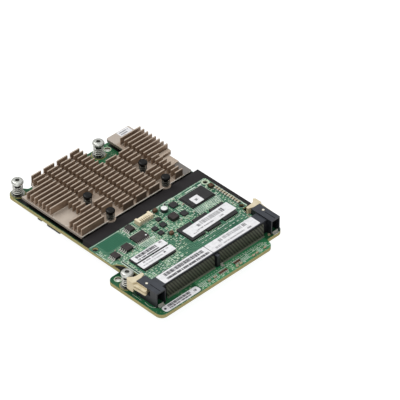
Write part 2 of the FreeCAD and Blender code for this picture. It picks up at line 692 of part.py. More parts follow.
# === ejector latches ==================================================================
for side, sg in (("left", "0 - "), ("right", "")):
    b = body("latch_" + side + "_body")
    sk = sketch(b, "latch_outline_" + side, height="latch_z")
    pts = [(43.4, -54.3), (46.6, -54.6), (48.6, -55.5), (49.5, -55.6), (49.9, -54.9), (50.0, -51.5), (50.3, -48.0), (50.5, -45.4), (50.4, -41.5), (49.2, -40.5),
           (46.8, -42.8), (44.6, -43.2), (41.2, -43.4), (40.5, -44.0), (40.8, -45.2), (44.3, -46.4)]
    if side == "left":
        pts = [(-x, y) for x, y in pts][::-1]
    add_poly(sk, pts)
    pad(b, sk, "latch_high", "latch_pad_" + side)
    # thumb tab below the rear outer corner
    sk = sketch(b, "latch_thumb_" + side, height="thumb_z")
    thumb = [(49.2, -46.2), (50.4, -46.3), (50.5, -45.4), (50.4, -41.5), (49.2, -40.5), (48.2, -41.5), (48.9, -43.4)]
    add_poly(sk, thumb if side == "right" else [(-x, y) for x, y in thumb][::-1])
    pad(b, sk, "latch_z - thumb_z + 0.1", "latch_thumb_pad_" + side)
    # the outer arm is a low two-pronged fork: cut down from above and slotted from the outside
    sk = sketch(b, "latch_lower_" + side, height="latch_z + latch_high + 1")
    fork = [(48.35, -57.5), (53.5, -57.5), (53.5, -45.8), (50.6, -46.0), (48.35, -47.2)]
    add_poly(sk, fork if side == "right" else [(-x, y) for x, y in fork][::-1])
    pocket(b, sk, "1 + latch_high - fork_high", "latch_lower_cut_" + side)
    sk = sketch(b, "latch_groove_" + side, height="latch_z + fork_high - 0.75")
    groove = [(48.8, -57.2), (52.5, -57.2), (52.5, -47.4), (49.8, -47.4), (48.8, -49.0)]
    add_poly(sk, groove if side == "right" else [(-x, y) for x, y in groove][::-1])
    pocket(b, sk, 0.85, "latch_groove_cut_" + side)
    sk = sketch(b, "latch_trunnion_" + side, height="latch_z - 0.9")
    add_circle(sk, sg + "latch_pivot_x", "latch_pivot_y", "latch_pivot_dia / 2")
    pad(b, sk, "board_top + tower_high - latch_z + 0.9", "latch_trunnion_pad_" + side)
    keep(b, "latch_" + side)

# === cache module =====================================================================
b = body("cache_board")
sk = sketch(b, "module_outline", height="mod_top - mod_thick")
add_poly(sk, [
    ("0 - mod_half", "mod_front"), ("key_x - 0.8", "mod_front"), ("key_x - 0.8", "mod_front + 5.6"), ("key_x + 0.8", "mod_front + 5.6"),
    ("key_x + 0.8", "mod_front"), ("mod_half", "mod_front"), ("mod_half", "hook_y - 1.9"), ("mod_half - 1.3", "hook_y - 1.9"),
    ("mod_half - 1.3", "hook_y + 1.9"), ("mod_half", "hook_y + 1.9"), ("mod_half", "wing_right_front"), ("mod_right", "wing_right_front"),
    ("mod_right", "mod_rear"), ("mod_left", "mod_rear"), ("mod_left", "wing_left_front"), ("mod_left + 2.6", "wing_left_front - 1.2"),
    ("0 - mod_half", "wing_left_front - 4.8"), ("0 - mod_half", "hook_y + 1.9"), ("1.3 - mod_half", "hook_y + 1.9"),
    ("1.3 - mod_half", "hook_y - 1.9"), ("0 - mod_half", "hook_y - 1.9")])
pad(b, sk, "mod_thick", "module_pad")
doc.recompute()
round_edges(b, 1.4, vertical_at(["mod_left", "mod_right", "mod_right", "mod_left", "mod_left + 2.6"],
                                ["mod_rear", "mod_rear", "wing_right_front", "wing_left_front", "wing_left_front - 1.2"]), "module_corners")
sk = sketch(b, "module_holes", height="mod_top + 1")
add_circle(sk, "mod_hole_x", "mod_hole_y", "mod_hole_dia / 2")
add_circle(sk, "0 - mod_hole_x", "mod_hole_y", "mod_hole_dia / 2")
add_circle(sk, "mod_hole_x - 0.3", "wing_right_front + 2.3", "1.3")
pocket(b, sk, 0, "module_drill", through=True)
keep(b, "cache_board")


def on_module(name, x0, y0, x1, y1, high, lift=0.0):
    return box(name, x0, y0, "mod_top + %.3f" % lift if lift else "mod_top", x1 - x0, y1 - y0, high)


# flash controller: substrate and moulded cap
keep(fuse("bga_stack", on_module("bga_substrate", 20.8, -20.9, 39.1, -8.7, 0.45), on_module("bga_cap", 21.5, -20.2, 38.4, -9.4, 1.15)), "flash_controller")
MEM = [(-36.5, -25.7), (-23.1, -12.4), (0.2, 10.9), (12.5, 23.1), (25.8, 36.4)]
keep(group("memory_group", *[on_module("memory_%d" % i, x0, -41.4, x1, -28.4, 1.15) for i, (x0, x1) in enumerate(MEM)]), "memory_chips")
# labels: thin bare sheets
dim("mem_top", 17.55)
keep(group("module_label_group",
           box("label_a", -35.7, -33.8, "mem_top", 24.4, 5.2, 0.08),
           box("label_b", -36.4, -40.3, "mem_top", 25.2, 5.3, 0.08),
           box("label_c", 1.9, -39.2, "mem_top", 36.0, 8.2, 0.08),
           box("label_d", 24.3, -20.1, "mem_top", 6.3, 6.3, 0.08)), "module_labels")
SO = [("so_a", -17.4, -8.8, 3.9, 4.9), ("so_b", -29.9, -20.0, 4.9, 5.6), ("so_c", -39.4, -20.6, 3.9, 4.9)]
keep(group("so_group", *[on_module(n, x - w / 2, y - d / 2, x + w / 2, y + d / 2, 1.5, 0.12) for n, x, y, w, d in SO]), "logic_chips")
keep(on_module("tssop", -18.3 - 4.85, -17.9 - 3.05, -18.3 + 4.85, -17.9 + 3.05, 1.0, 0.12), "bus_driver_chip")
keep(group("qfn_group", on_module("qfn_a", 12.9, -12.8, 17.3, -8.4, 0.9), on_module("qfn_b", 12.3, -22.3, 16.3, -18.3, 0.9)), "regulator_chips")
can = revolve("can_body", [(0, "mod_top"), (2.2, "mod_top"), (2.2, "mod_top + 1.6"), (1.9, "mod_top + 1.9"), (0, "mod_top + 1.9")])
place(can, 8.2, -10.4)
keep(can, "storage_capacitor")
coil_core = on_module("inductor_block", 4.6, -21.6, 9.8, -16.4, 2.4)
keep(coil_core, "power_inductor")
blocks = [(-3.1, -21.1, 0.4, -17.6, 1.0), (-8.8, -20.4, -5.5, -17.2, 1.0), (-8.8, -25.3, -5.6, -22.2, 1.0), (40.9, -15.0, 43.8, -12.2, 1.9),
          (-1.4, -15.4, 1.4, -12.8, 1.0)]
keep(group("small_block_group", *[on_module("small_block_%d" % i, *v) for i, v in enumerate(blocks)]), "small_transistors")
tans = [(2.4, -8.4, 5.2, -6.4, 1.8), (-4.6, -29.2, -2.0, -27.0, 1.5)]
keep(group("tan_block_group", *[on_module("tan_block_%d" % i, *v) for i, v in enumerate(tans)]), "module_capacitors")
# pack header: cream block with raised end posts, a comb of slots in front and a pin in each
hx0, hy0, hx1, hy1 = -11.7, -10.6, -0.6, -6.6
core = on_module("header_block", hx0 + 0.6, hy0, hx1 - 0.6, hy1 - 0.5, 2.5)
ends = fuse("header_ends", on_module("header_end_left", hx0, hy0 - 0.3, hx0 + 1.5, hy1, 2.9), on_module("header_end_right", hx1 - 1.5, hy0 - 0.3, hx1, hy1, 2.9))
comb = group("header_slots", *[on_module("header_slot_%d" % i, hx0 + 2.1 + 1.27 * i, hy0 - 1, hx0 + 2.65 + 1.27 * i, hy0 + 1.9, 3.2, 0.9) for i in range(6)])
keep(cut("header_cut", fuse("header_shell", core, ends), comb), "pack_header")
keep(group("header_post_group", *[on_module("header_post_%d" % i, hx0 + 2.2 + 1.27 * i, hy0 - 0.9, hx0 + 2.55 + 1.27 * i, hy0 + 1.6, 0.35, 0.9) for i in range(6)]), "header_pins")

# bare labels on the socket, the board and the heat sink
dim("sock_top", 19.1)
dim("plate_top", 14.6)
keep(group("socket_label_group", box("label_e", -37.8, -58.7, "sock_top", 37.2, 7.6, 0.1), box("label_f", -0.2, -58.6, "sock_top", 37.2, 7.6, 0.1)), "socket_labels")
keep(box("label_g", -46.8, -69.2, "board_top", 27.2, 4.8, 0.1), "board_label")
keep(box("label_h", 39.6, 57.4, "plate_top", 8.8, 5.4, 0.1), "heat_sink_label")

# === parts on the main board ==========================================================
low = [(7.6, -69.3, 9.4, -68.2), (10.6, -69.1, 12.4, -68.0), (20.6, -69.2, 22.4, -68.1), (23.6, -69.0, 25.4, -67.9), (-8.0, -67.4, -6.2, -66.3),
       (-12.4, -67.4, -10.6, -66.3), (30.0, -68.8, 31.8, -67.7), (40.0, -62.6, 41.2, -61.4)]
keep(group("board_cap_group", *[box("board_cap_%d" % i, x0, y0, "board_top", x1 - x0, y1 - y0, 0.9) for i, (x0, y0, x1, y1) in enumerate(low)]), "board_capacitors")
under = [(-39.8, 41.0, -33.2, 44.3, 1.7), (-39.8, 25.5, -30.6, 36.3, 1.9), (-20.0, 12.0, -8.0, 24.0, 1.2), (-24.0, 40.0, -12.0, 50.0, 1.2),
         (12.0, 36.0, 24.0, 46.0, 1.2), (30.0, 14.0, 44.0, 26.0, 1.4), (-34.0, -30.0, -22.0, -16.0, 1.2), (-38.0, -8.0, -26.0, 4.0, 1.2)]
keep(group("underside_group", *[box("underside_chip_%d" % i, x0, y0, "board_z - %.2f" % h, x1 - x0, y1 - y0, "%.2f" % h) for i, (x0, y0, x1, y1, h) in enumerate(under)]), "underside_chips")

# === mezzanine connector: block with a shallow well, centre rib and rows of contacts ===
b = body("mezz_body")
sk = sketch(b, "mezz_outline", height=0)
add_rect(sk, "mezz_x - mezz_long / 2", "mezz_y - mezz_wide / 2", "mezz_x + mezz_long / 2", "mezz_y + mezz_wide / 2")
pad(b, sk, "board_z", "mezz_pad")
doc.recompute()
round_edges(b, 1.0, vertical_at(["mezz_x - mezz_long / 2", "mezz_x + mezz_long / 2", "mezz_x + mezz_long / 2", "mezz_x - mezz_long / 2"],
                                ["mezz_y - mezz_wide / 2", "mezz_y - mezz_wide / 2", "mezz_y + mezz_wide / 2", "mezz_y + mezz_wide / 2"]), "mezz_corners")
sk = sketch(b, "mezz_wells", height=1.8)
add_rect(sk, "mezz_x - mezz_long / 2 + 1.6", "mezz_y - mezz_wide / 2 + 1.4", "mezz_x - 1.2", "mezz_y + mezz_wide / 2 - 1.4")
add_rect(sk, "mezz_x + 1.2", "mezz_y - mezz_wide / 2 + 1.4", "mezz_x + mezz_long / 2 - 1.6", "mezz_y + mezz_wide / 2 - 1.4")
pocket(b, sk, 3.0, "mezz_wells_cut")
keep(b, "mezzanine_connector")
pins = []
for i in range(12):
    for j in range(10):
        px = D["mezz_x"] + (2.3 + 2.15 * i)
        py = D["mezz_y"] - 6.75 + 1.5 * j
        pins.append(blk(px, py - 0.45, 0.5, px + 0.28, py + 0.45, 1.8))
        px = D["mezz_x"] - (2.3 + 2.15 * i)
        pins.append(blk(px - 0.28, py - 0.45, 0.5, px, py + 0.45, 1.8))
feature("mezzanine_contacts", Part.makeCompound(pins))

# === check everything, then write one file a piece ======================================
doc.recompute()
bad = []
for o in doc.Objects:
    st = list(o.State)
    if "Invalid" in st or "Error" in st:
        bad.append((o.Name, st))
for label, o in NODES.items():
    if o.Shape.isNull() or not o.Shape.isValid() or not o.Shape.Solids:
        bad.append((label, "shape"))
if bad:
    raise SystemExit("bad objects: %r" % bad)
os.makedirs("parts", exist_ok=True)
whole = None
for label, o in NODES.items():
    o.Shape.exportStep("parts/%s.step" % label)
    bb = o.Shape.BoundBox
    whole = bb if whole is None else whole.united(bb)
    print("%-22s solids %3d vol %9.1f  x %6.1f..%6.1f y %6.1f..%6.1f z %5.2f..%5.2f" % (
        label, len(o.Shape.Solids), o.Shape.Volume, bb.XMin, bb.XMax, bb.YMin, bb.YMax, bb.ZMin, bb.ZMax))
print("nodes", len(NODES), "box", [round(v, 3) for v in (whole.XMin, whole.XMax, whole.YMin, whole.YMax, whole.ZMin, whole.ZMax)])
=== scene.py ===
import bpy
import bmesh
import math
import random
from mathutils import Matrix, Vector


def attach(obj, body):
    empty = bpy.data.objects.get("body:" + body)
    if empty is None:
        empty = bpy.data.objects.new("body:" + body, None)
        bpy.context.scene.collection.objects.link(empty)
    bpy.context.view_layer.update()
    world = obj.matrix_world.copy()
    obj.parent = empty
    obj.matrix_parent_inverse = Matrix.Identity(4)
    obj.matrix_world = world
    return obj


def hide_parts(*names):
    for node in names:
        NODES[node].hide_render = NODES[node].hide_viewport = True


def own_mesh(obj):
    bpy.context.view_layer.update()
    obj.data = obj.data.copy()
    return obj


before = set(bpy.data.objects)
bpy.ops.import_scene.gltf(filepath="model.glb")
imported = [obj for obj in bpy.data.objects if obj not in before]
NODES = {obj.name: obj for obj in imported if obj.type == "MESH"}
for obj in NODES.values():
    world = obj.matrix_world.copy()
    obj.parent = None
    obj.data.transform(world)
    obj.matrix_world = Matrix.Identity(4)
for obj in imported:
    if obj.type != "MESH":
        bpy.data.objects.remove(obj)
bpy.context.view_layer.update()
MM = 0.001
rng = random.Random(41)
scene = bpy.context.scene
scene.view_settings.view_transform = "Standard"
scene.view_settings.look = "None"
scene.view_settings.exposure = 0.0
scene.view_settings.gamma = 1.0

TOP = 10.0      # component side of the main board, mm
MOD = 16.4      # component side of the cache module, mm
PIT_Z = 19.70   # top of the painted shade in the screws' drive recess, mm
XY = {"rear_left": (-35.7, 65.4), "rear_right": (22.1, 59.4), "front_left": (-46.5, -37.65)}


def hexc(h):
    """sRGB hex to linear RGBA"""
    out = []
    for i in (0, 2, 4):
        c = int(h[i:i + 2], 16) / 255
        out.append(c / 12.92 if c <= 0.04045 else ((c + 0.055) / 1.055) ** 2.4)
    return (*out, 1.0)


# ----------------------------------------------------------------------------
# node helper
# ----------------------------------------------------------------------------
class G:
    def __init__(self, name):
        self.mat = bpy.data.materials.new(name)
        self.mat.use_nodes = True
        self.nt = self.mat.node_tree
        self.nt.nodes.clear()
        self.bsdf = self.nt.nodes.new("ShaderNodeBsdfPrincipled")
        out = self.nt.nodes.new("ShaderNodeOutputMaterial")
        self.nt.links.new(self.bsdf.outputs[0], out.inputs[0])
        self._mm = None

    def n(self, kind, **props):
        node = self.nt.nodes.new(kind)
        for k, v in props.items():
            setattr(node, k, v)
        return node

    def put(self, sock, v):
        if isinstance(v, bpy.types.NodeSocket):
            self.nt.links.new(v, sock)
        else:
            sock.default_value = v

    def mm(self):
        """object coordinates in millimetres"""
        if self._mm is None:
            tc = self.n("ShaderNodeTexCoord")
            v = self.n("ShaderNodeVectorMath", operation="SCALE")
            self.put(v.inputs[0], tc.outputs["Object"])
            v.inputs["Scale"].default_value = 1000.0
            self._mm = v.outputs[0]
        return self._mm

    def xyz(self, vec=None):
        s = self.n("ShaderNodeSeparateXYZ")
        self.put(s.inputs[0], vec or self.mm())
        return s.outputs[0], s.outputs[1], s.outputs[2]

    def normal(self):
        g = self.n("ShaderNodeNewGeometry")
        s = self.n("ShaderNodeSeparateXYZ")
        self.put(s.inputs[0], g.outputs["True Normal"])
        return s.outputs[0], s.outputs[1], s.outputs[2]

    def m(self, op, a, b=0.0, c=0.0, clamp=False):
        node = self.n("ShaderNodeMath", operation=op, use_clamp=clamp)
        self.put(node.inputs[0], a)
        self.put(node.inputs[1], b)
        self.put(node.inputs[2], c)
        return node.outputs[0]

    def step(self, v, lo, hi):
        """0 below lo, 1 above hi"""
        r = self.n("ShaderNodeMapRange", interpolation_type="SMOOTHSTEP")
        self.put(r.inputs["Value"], v)
        r.inputs["From Min"].default_value = lo
        r.inputs["From Max"].default_value = hi
        return r.outputs[0]

    def mix(self, f, a, b, mode="MIX"):
        x = self.n("ShaderNodeMix", data_type="RGBA", blend_type=mode)
        x.clamp_factor = True
        self.put(x.inputs[0], f)
        self.put(x.inputs[6], a)
        self.put(x.inputs[7], b)
        return x.outputs[2]

    def noise(self, scale, detail=3.0, rough=0.55, vec=None, dist=0.0):
        t = self.n("ShaderNodeTexNoise")
        self.put(t.inputs["Vector"], vec or self.mm())
        t.inputs["Scale"].default_value = scale
        t.inputs["Detail"].default_value = detail
        t.inputs["Roughness"].default_value = rough
        t.inputs["Distortion"].default_value = dist
        return t.outputs[0]

    def vor(self, scale, feature="F1", metric="EUCLIDEAN", rand=1.0, vec=None, out="Distance"):
        t = self.n("ShaderNodeTexVoronoi", feature=feature, distance=metric)
        self.put(t.inputs["Vector"], vec or self.mm())
        t.inputs["Scale"].default_value = scale
        t.inputs["Randomness"].default_value = rand
        return t.outputs[out]

    def mapv(self, loc=(0, 0, 0), rot=(0, 0, 0), scale=(1, 1, 1), vec=None):
        t = self.n("ShaderNodeMapping")
        self.put(t.inputs["Vector"], vec or self.mm())
        t.inputs["Location"].default_value = loc
        t.inputs["Rotation"].default_value = rot
        t.inputs["Scale"].default_value = scale
        return t.outputs[0]

    def ramp(self, f, stops):
        r = self.n("ShaderNodeValToRGB")
        self.put(r.inputs[0], f)
        el = r.color_ramp.elements
        while len(el) > 1:
            el.remove(el[-1])
        el[0].position, el[0].color = stops[0]
        for p, c in stops[1:]:
            e = el.new(p)
            e.color = c
        return r.outputs[0]

    def bump(self, h, strength=0.3, dist=0.00005):
        b = self.n("ShaderNodeBump")
        b.inputs["Strength"].default_value = strength
        b.inputs["Distance"].default_value = dist
        self.put(b.inputs["Height"], h)
        self.nt.links.new(b.outputs[0], self.bsdf.inputs["Normal"])

    def done(self, color, rough=0.5, metal=0.0, spec=0.5, **consts):
        self.put(self.bsdf.inputs["Base Color"], color)
        self.put(self.bsdf.inputs["Roughness"], rough)
        self.put(self.bsdf.inputs["Metallic"], metal)
        self.bsdf.inputs["Specular IOR Level"].default_value = spec
        for k, v in consts.items():
            self.bsdf.inputs[k.replace("_", " ")].default_value = v
        return self.mat


def inside(g, x, y, x0, y0, x1, y1, soft=0.05):
    """1 inside a rectangle"""
    a = g.m("MULTIPLY", g.step(x, x0 - soft, x0 + soft), g.m("SUBTRACT", 1.0, g.step(x, x1 - soft, x1 + soft)))
    b = g.m("MULTIPLY", g.step(y, y0 - soft, y0 + soft), g.m("SUBTRACT", 1.0, g.step(y, y1 - soft, y1 + soft)))
    return g.m("MULTIPLY", a, b)


# ----------------------------------------------------------------------------
# materials
# ----------------------------------------------------------------------------
def pcb(name, dark, mid, trace, padc, density, z_top, z_bot, plain, shadow_and_tone, strength):
    """solder mask with traces, pads and vias on both faces, layered glass fibre on the edges; plain lists rectangles
    without pads, and the last list holds rectangles recoloured on the top face: painted shadow, or a darker or lighter
    tone of the mask"""
    g = G(name)
    x, y, z = g.xyz()
    nx, ny, nz = g.normal()
    # traces run along X, along Y or at 45 degrees, by patch
    cell = g.n("ShaderNodeTexVoronoi", feature="F1", distance="CHEBYCHEV")
    g.put(cell.inputs["Vector"], g.mm())
    cell.inputs["Scale"].default_value = 0.16
    s = g.n("ShaderNodeSeparateColor")
    g.put(s.inputs[0], cell.outputs["Color"])
    pick, have, shift = s.outputs[0], s.outputs[1], s.outputs[2]

    def lines(v):
        p = g.m("FRACT", g.m("MULTIPLY", g.m("ADD", v, shift), 0.80))
        return g.m("MULTIPLY", g.step(p, 0.30, 0.38), g.m("SUBTRACT", 1.0, g.step(p, 0.62, 0.70)))
    lx, ly = lines(y), lines(x)
    ld = lines(g.m("MULTIPLY", g.m("ADD", x, y), 0.7071))
    a = g.m("GREATER_THAN", pick, 0.62)
    b = g.m("GREATER_THAN", pick, 0.30)
    pat = g.m("ADD", g.m("MULTIPLY", lx, a), g.m("MULTIPLY", ly, g.m("SUBTRACT", b, a)))
    pat = g.m("ADD", pat, g.m("MULTIPLY", ld, g.m("SUBTRACT", 1.0, b)), clamp=True)
    pat = g.m("MULTIPLY", pat, g.m("GREATER_THAN", have, 1.0 - density))
    # vias: tinned dots on a loose grid
    d = g.vor(0.55, rand=0.85)
    via = g.m("SUBTRACT", 1.0, g.step(d, 0.10, 0.17))
    hole = g.m("SUBTRACT", 1.0, g.step(d, 0.045, 0.075))
    keepv = g.step(g.noise(0.12, 1.0), 0.48, 0.52)
    via = g.m("MULTIPLY", via, keepv)
    hole = g.m("MULTIPLY", hole, keepv)
    base = g.mix(g.step(g.noise(0.07, 4.0), 0.35, 0.65), dark, mid)
    open_field = g.m("MULTIPLY", g.step(g.noise(0.10, 2.0), 0.40, 0.56), 1.0)
    for q in plain:
        open_field = g.m("MULTIPLY", open_field, g.m("SUBTRACT", 1.0, inside(g, x, y, *q, 0.4)))
    base = g.mix(g.m("MULTIPLY", g.m("MULTIPLY", pat, g.m("ADD", 0.35, g.m("MULTIPLY", open_field, 0.65))), strength), base, trace)
    # small square lands, two sizes, thicker on the ground where the parts stand
    for sc, lim, off, amount in ((0.50, 0.27, 0.0, 0.9), (0.78, 0.27, 7.3, 0.85)):
        v = g.mapv(loc=(off, off * 0.7, 0.0), scale=(1.0, 1.25, 0.0))
        land = g.m("SUBTRACT", 1.0, g.step(g.vor(sc, metric="CHEBYCHEV", rand=0.55, vec=v), lim - 0.05, lim + 0.05))
        pickl = g.step(g.noise(0.45, 1.0, vec=g.mapv(loc=(off, 3.0, 0.0))), 0.46, 0.52)
        land = g.m("MULTIPLY", g.m("MULTIPLY", land, pickl), open_field)
        base = g.mix(g.m("MULTIPLY", land, amount), base, padc)
    base = g.mix(g.m("MULTIPLY", via, 0.75), base, hexc("b9c4a4"))
    base = g.mix(hole, base, hexc("20281c"))
    # recolour the listed rectangles on the top face only; the near-black ones under the heat sink are painted shadow
    for q, c, amount in shadow_and_tone:
        base = g.mix(g.m("MULTIPLY", g.m("MULTIPLY", inside(g, x, y, *q, 0.5), amount), g.step(nz, 0.2, 0.6)), base, c)
    # edge: resin-rich layers between glass cloth, lighter along both rims
    warp = g.noise(0.9, 4.0, vec=g.mapv(scale=(0.35, 0.35, 5.0)))
    ply = g.m("FRACT", g.m("MULTIPLY", g.m("ADD", z, g.m("MULTIPLY", warp, 0.12)), 3.1))
    edge = g.mix(g.step(ply, 0.35, 0.6), hexc("8f8456"), hexc("a59c66"))
    fibre = g.noise(6.0, 5.0, 0.7, vec=g.mapv(scale=(1.0, 1.0, 0.15)))
    edge = g.mix(g.m("MULTIPLY", g.step(fibre, 0.45, 0.75), 0.55), edge, hexc("75693c"))
    rim = g.m("ADD", g.step(z, z_top - 0.28, z_top - 0.08), g.m("SUBTRACT", 1.0, g.step(z, z_bot + 0.05, z_bot + 0.3)), clamp=True)
    edge = g.mix(g.m("MULTIPLY", rim, 0.6), edge, hexc("b4ac7c"))
    flat = g.step(g.m("ABSOLUTE", nz), 0.35, 0.6)
    col = g.mix(flat, edge, base)
    grain = g.noise(3.5, 2.0)
    rough = g.m("ADD", g.m("MULTIPLY", flat, -0.32), g.m("ADD", 0.66, g.m("MULTIPLY", grain, 0.12)))
    g.bump(g.m("ADD", g.m("MULTIPLY", pat, 0.6), g.m("MULTIPLY", g.noise(2.2, 3.0), 0.4)), 0.35, 0.00003)
    return g.done(col, rough, 0.0, 0.35)


MAT = {}
MAT["board"] = pcb("board_mask", hexc("12492a"), hexc("1b5c38"), hexc("4c9a6c"), hexc("9fb38f"), 0.45, TOP, TOP - 2.4,
                   [(-60, -62, 60, -40), (-60, 60, -28, 72), (-52, -70, -40, -20), (34, -66, 52, -50)],
                   # the three near-black rectangles are painted shadow on the board under the heat sink; the fourth
                   # lifts the green of the front strip
                   [((-39.9, 4.0, 50.0, 47.0), hexc("060a07"), 1.0), ((-39.9, 46.0, 10.4, 62.5), hexc("060a07"), 1.0), ((32.2, 46.0, 50.0, 62.5), hexc("060a07"), 1.0),
                    ((-19.0, -71.0, 37.0, -60.5), hexc("46a870"), 0.32)], 0.5)
MAT["module"] = pcb("module_mask", hexc("1f5740"), hexc("2b684e"), hexc("8fbb9b"), hexc("c9dcbe"), 0.80, MOD, MOD - 1.0,
                    [(-46, -15.6, -23.6, -4.0), (-10.5, -50.5, 41, -41.5), (-12.0, -40.6, 0.0, -30.0)],
                    [((-40.0, -15.2, -24.4, -5.6), hexc("185a40"), 1.0)], 0.95)


def sink_material():
    g = G("bronze_anodised")
    x, y, z = g.xyz()
    nx, ny, nz = g.normal()
    # upward faces take lighter tones than the walls: painted light from above
    up = g.step(nz, 0.55, 0.9)
    on_base = g.m("SUBTRACT", 1.0, g.step(z, 14.75, 15.1))
    # fin walls with cut strokes, and painted shade towards the root
    side = g.mix(g.step(g.noise(0.35, 4.0), 0.3, 0.7), hexc("7d6856"), hexc("947c66"))
    stroke = g.noise(1.0, 5.0, 0.7, vec=g.mapv(scale=(1.6, 1.6, 0.35)))
    side = g.mix(g.m("MULTIPLY", g.step(stroke, 0.4, 0.75), 0.35), side, hexc("9f8b79"))
    side = g.mix(g.m("MULTIPLY", g.m("SUBTRACT", 1.0, g.step(z, 14.6, 17.6)), 0.10), side, hexc("42362b"))
    # painted shade on the foremost faces, which look onto the black sheet
    fore = g.m("MULTIPLY", g.m("SUBTRACT", 1.0, g.step(y, 6.95, 7.05)), g.step(x, -24.0, -18.0))
    side = g.mix(g.m("MULTIPLY", fore, 0.55), side, hexc("241b15"))
    # a painted highlight line along every upper edge
    edge_highlight = g.m("MULTIPLY", g.step(z, 19.45, 19.6), 0.85)
    side = g.mix(edge_highlight, side, hexc("b6a798"))
    # front and side faces of the base: painted shade, with a painted highlight line on top; the front faces get a mid
    # brown and the left faces a lighter brown, as painted light
    brim = g.mix(g.step(z, 14.02, 14.14), hexc("16120f"), hexc("f2ece2"))
    brim = g.mix(g.m("MULTIPLY", g.m("SUBTRACT", 1.0, g.step(y, 6.50, 6.62)), 0.8), brim, hexc("5d5045"))
    left = g.m("SUBTRACT", 1.0, g.step(nx, -0.9, -0.6))
    brim = g.mix(g.m("MULTIPLY", left, 0.75), brim, hexc("7b6d60"))
    side = g.mix(on_base, side, brim)
    top = g.mix(g.step(g.noise(1.4, 4.0, vec=g.mapv(scale=(0.4, 2.6, 1.0))), 0.3, 0.7), hexc("a99888"), hexc("c2b3a3"))
    base = g.mix(g.step(g.noise(0.22, 4.0), 0.35, 0.65), hexc("a69585"), hexc("b8a898"))
    # scuffs from handling: short pale streaks in two directions
    for rz, sd in ((0.5, 0.0), (-0.9, 5.0)):
        sc = g.noise(1.1, 3.0, 0.6, vec=g.mapv(loc=(sd, sd, 0), rot=(0, 0, rz), scale=(0.25, 3.0, 1.0)))
        base = g.mix(g.m("MULTIPLY", g.step(sc, 0.60, 0.70), 0.45), base, hexc("c9beb0"))
    # the two lower plates at the right edge are greyer
    plate = g.m("MULTIPLY", g.step(x, 40.4, 40.8), g.m("SUBTRACT", 1.0, g.step(y, 25.9, 26.3)))
    far = g.m("MULTIPLY", g.step(x, 44.6, 45.4), g.m("SUBTRACT", 1.0, g.step(y, 42.0, 46.0)))
    plate = g.m("MAXIMUM", plate, g.m("MULTIPLY", far, 0.8))
    plate = g.m("MULTIPLY", plate, g.m("SUBTRACT", 1.0, g.step(z, 16.0, 16.4)))
    base = g.mix(plate, base, hexc("78736f"))
    # a painted highlight along the sawn front margin of the base
    front = g.m("MULTIPLY", g.step(y, 6.55, 6.62), g.m("SUBTRACT", 1.0, g.step(y, 6.86, 6.98)))
    base = g.mix(g.m("MULTIPLY", front, g.m("SUBTRACT", 1.0, g.step(x, 38.0, 39.0))), base, hexc("f2ece2"))
    flatc = g.mix(on_base, top, base)
    # worn round patch in the bare field near the left edge, with a faint ring at its rim
    dx = g.m("SUBTRACT", x, -33.0)
    dy = g.m("SUBTRACT", y, 25.6)
    r = g.m("SQRT", g.m("ADD", g.m("MULTIPLY", dx, dx), g.m("MULTIPLY", dy, dy)))
    r = g.m("ADD", r, g.m("MULTIPLY", g.noise(0.5, 2.0), 0.5))
    patch = g.m("MULTIPLY", g.m("SUBTRACT", 1.0, g.step(r, 7.3, 8.3)), on_base)
    flatc = g.mix(g.m("MULTIPLY", patch, 0.6), flatc, hexc("beb4a8"))
    ring = g.m("MULTIPLY", g.m("MULTIPLY", g.step(r, 7.6, 8.2), g.m("SUBTRACT", 1.0, g.step(r, 8.3, 9.0))), on_base)
    flatc = g.mix(g.m("MULTIPLY", ring, 0.7), flatc, hexc("cfc9bf"))
    rear = g.m("MULTIPLY", g.step(y, 54.0, 56.5), on_base)
    flatc = g.mix(g.m("MULTIPLY", rear, 0.7), flatc, hexc("bdb4ab"))
    # painted light: upward faces get the lighter top and base tones
    col = g.mix(up, side, flatc)
    # painted shade on the downward faces
    under = g.step(nz, -0.9, -0.6)
    col = g.mix(under, hexc("4d3f34"), col)
    rough = g.m("ADD", 0.42, g.m("MULTIPLY", g.noise(1.2, 3.0), 0.18))
    g.bump(g.noise(2.4, 5.0, 0.7, vec=g.mapv(scale=(0.5, 2.0, 0.6))), 0.30, 0.00004)
    return g.done(col, rough, 0.25, 0.45)


MAT["sink"] = sink_material()


def plastic(name, c1, c2, rough=0.45, spec=0.4, grain=5.0, strength=0.15, cloud=0.3, side_shade=None, deep=0.7):
    """the tone given for the upright faces is painted shade: they are drawn darker than the top, by the amount deep"""
    g = G(name)
    col = g.mix(g.step(g.noise(cloud, 3.0), 0.3, 0.7), c1, c2)
    if side_shade:
        nz = g.normal()[2]
        # painted shade on the upright faces
        col = g.mix(g.m("MULTIPLY", g.m("SUBTRACT", 1.0, g.step(nz, 0.2, 0.7)), deep), col, side_shade)
    r = g.m("ADD", rough - 0.05, g.m("MULTIPLY", g.noise(grain * 0.6, 2.0), 0.12))
    g.bump(g.noise(grain, 3.0, 0.6), strength, 0.00003)
    return g.done(col, r, 0.0, spec)


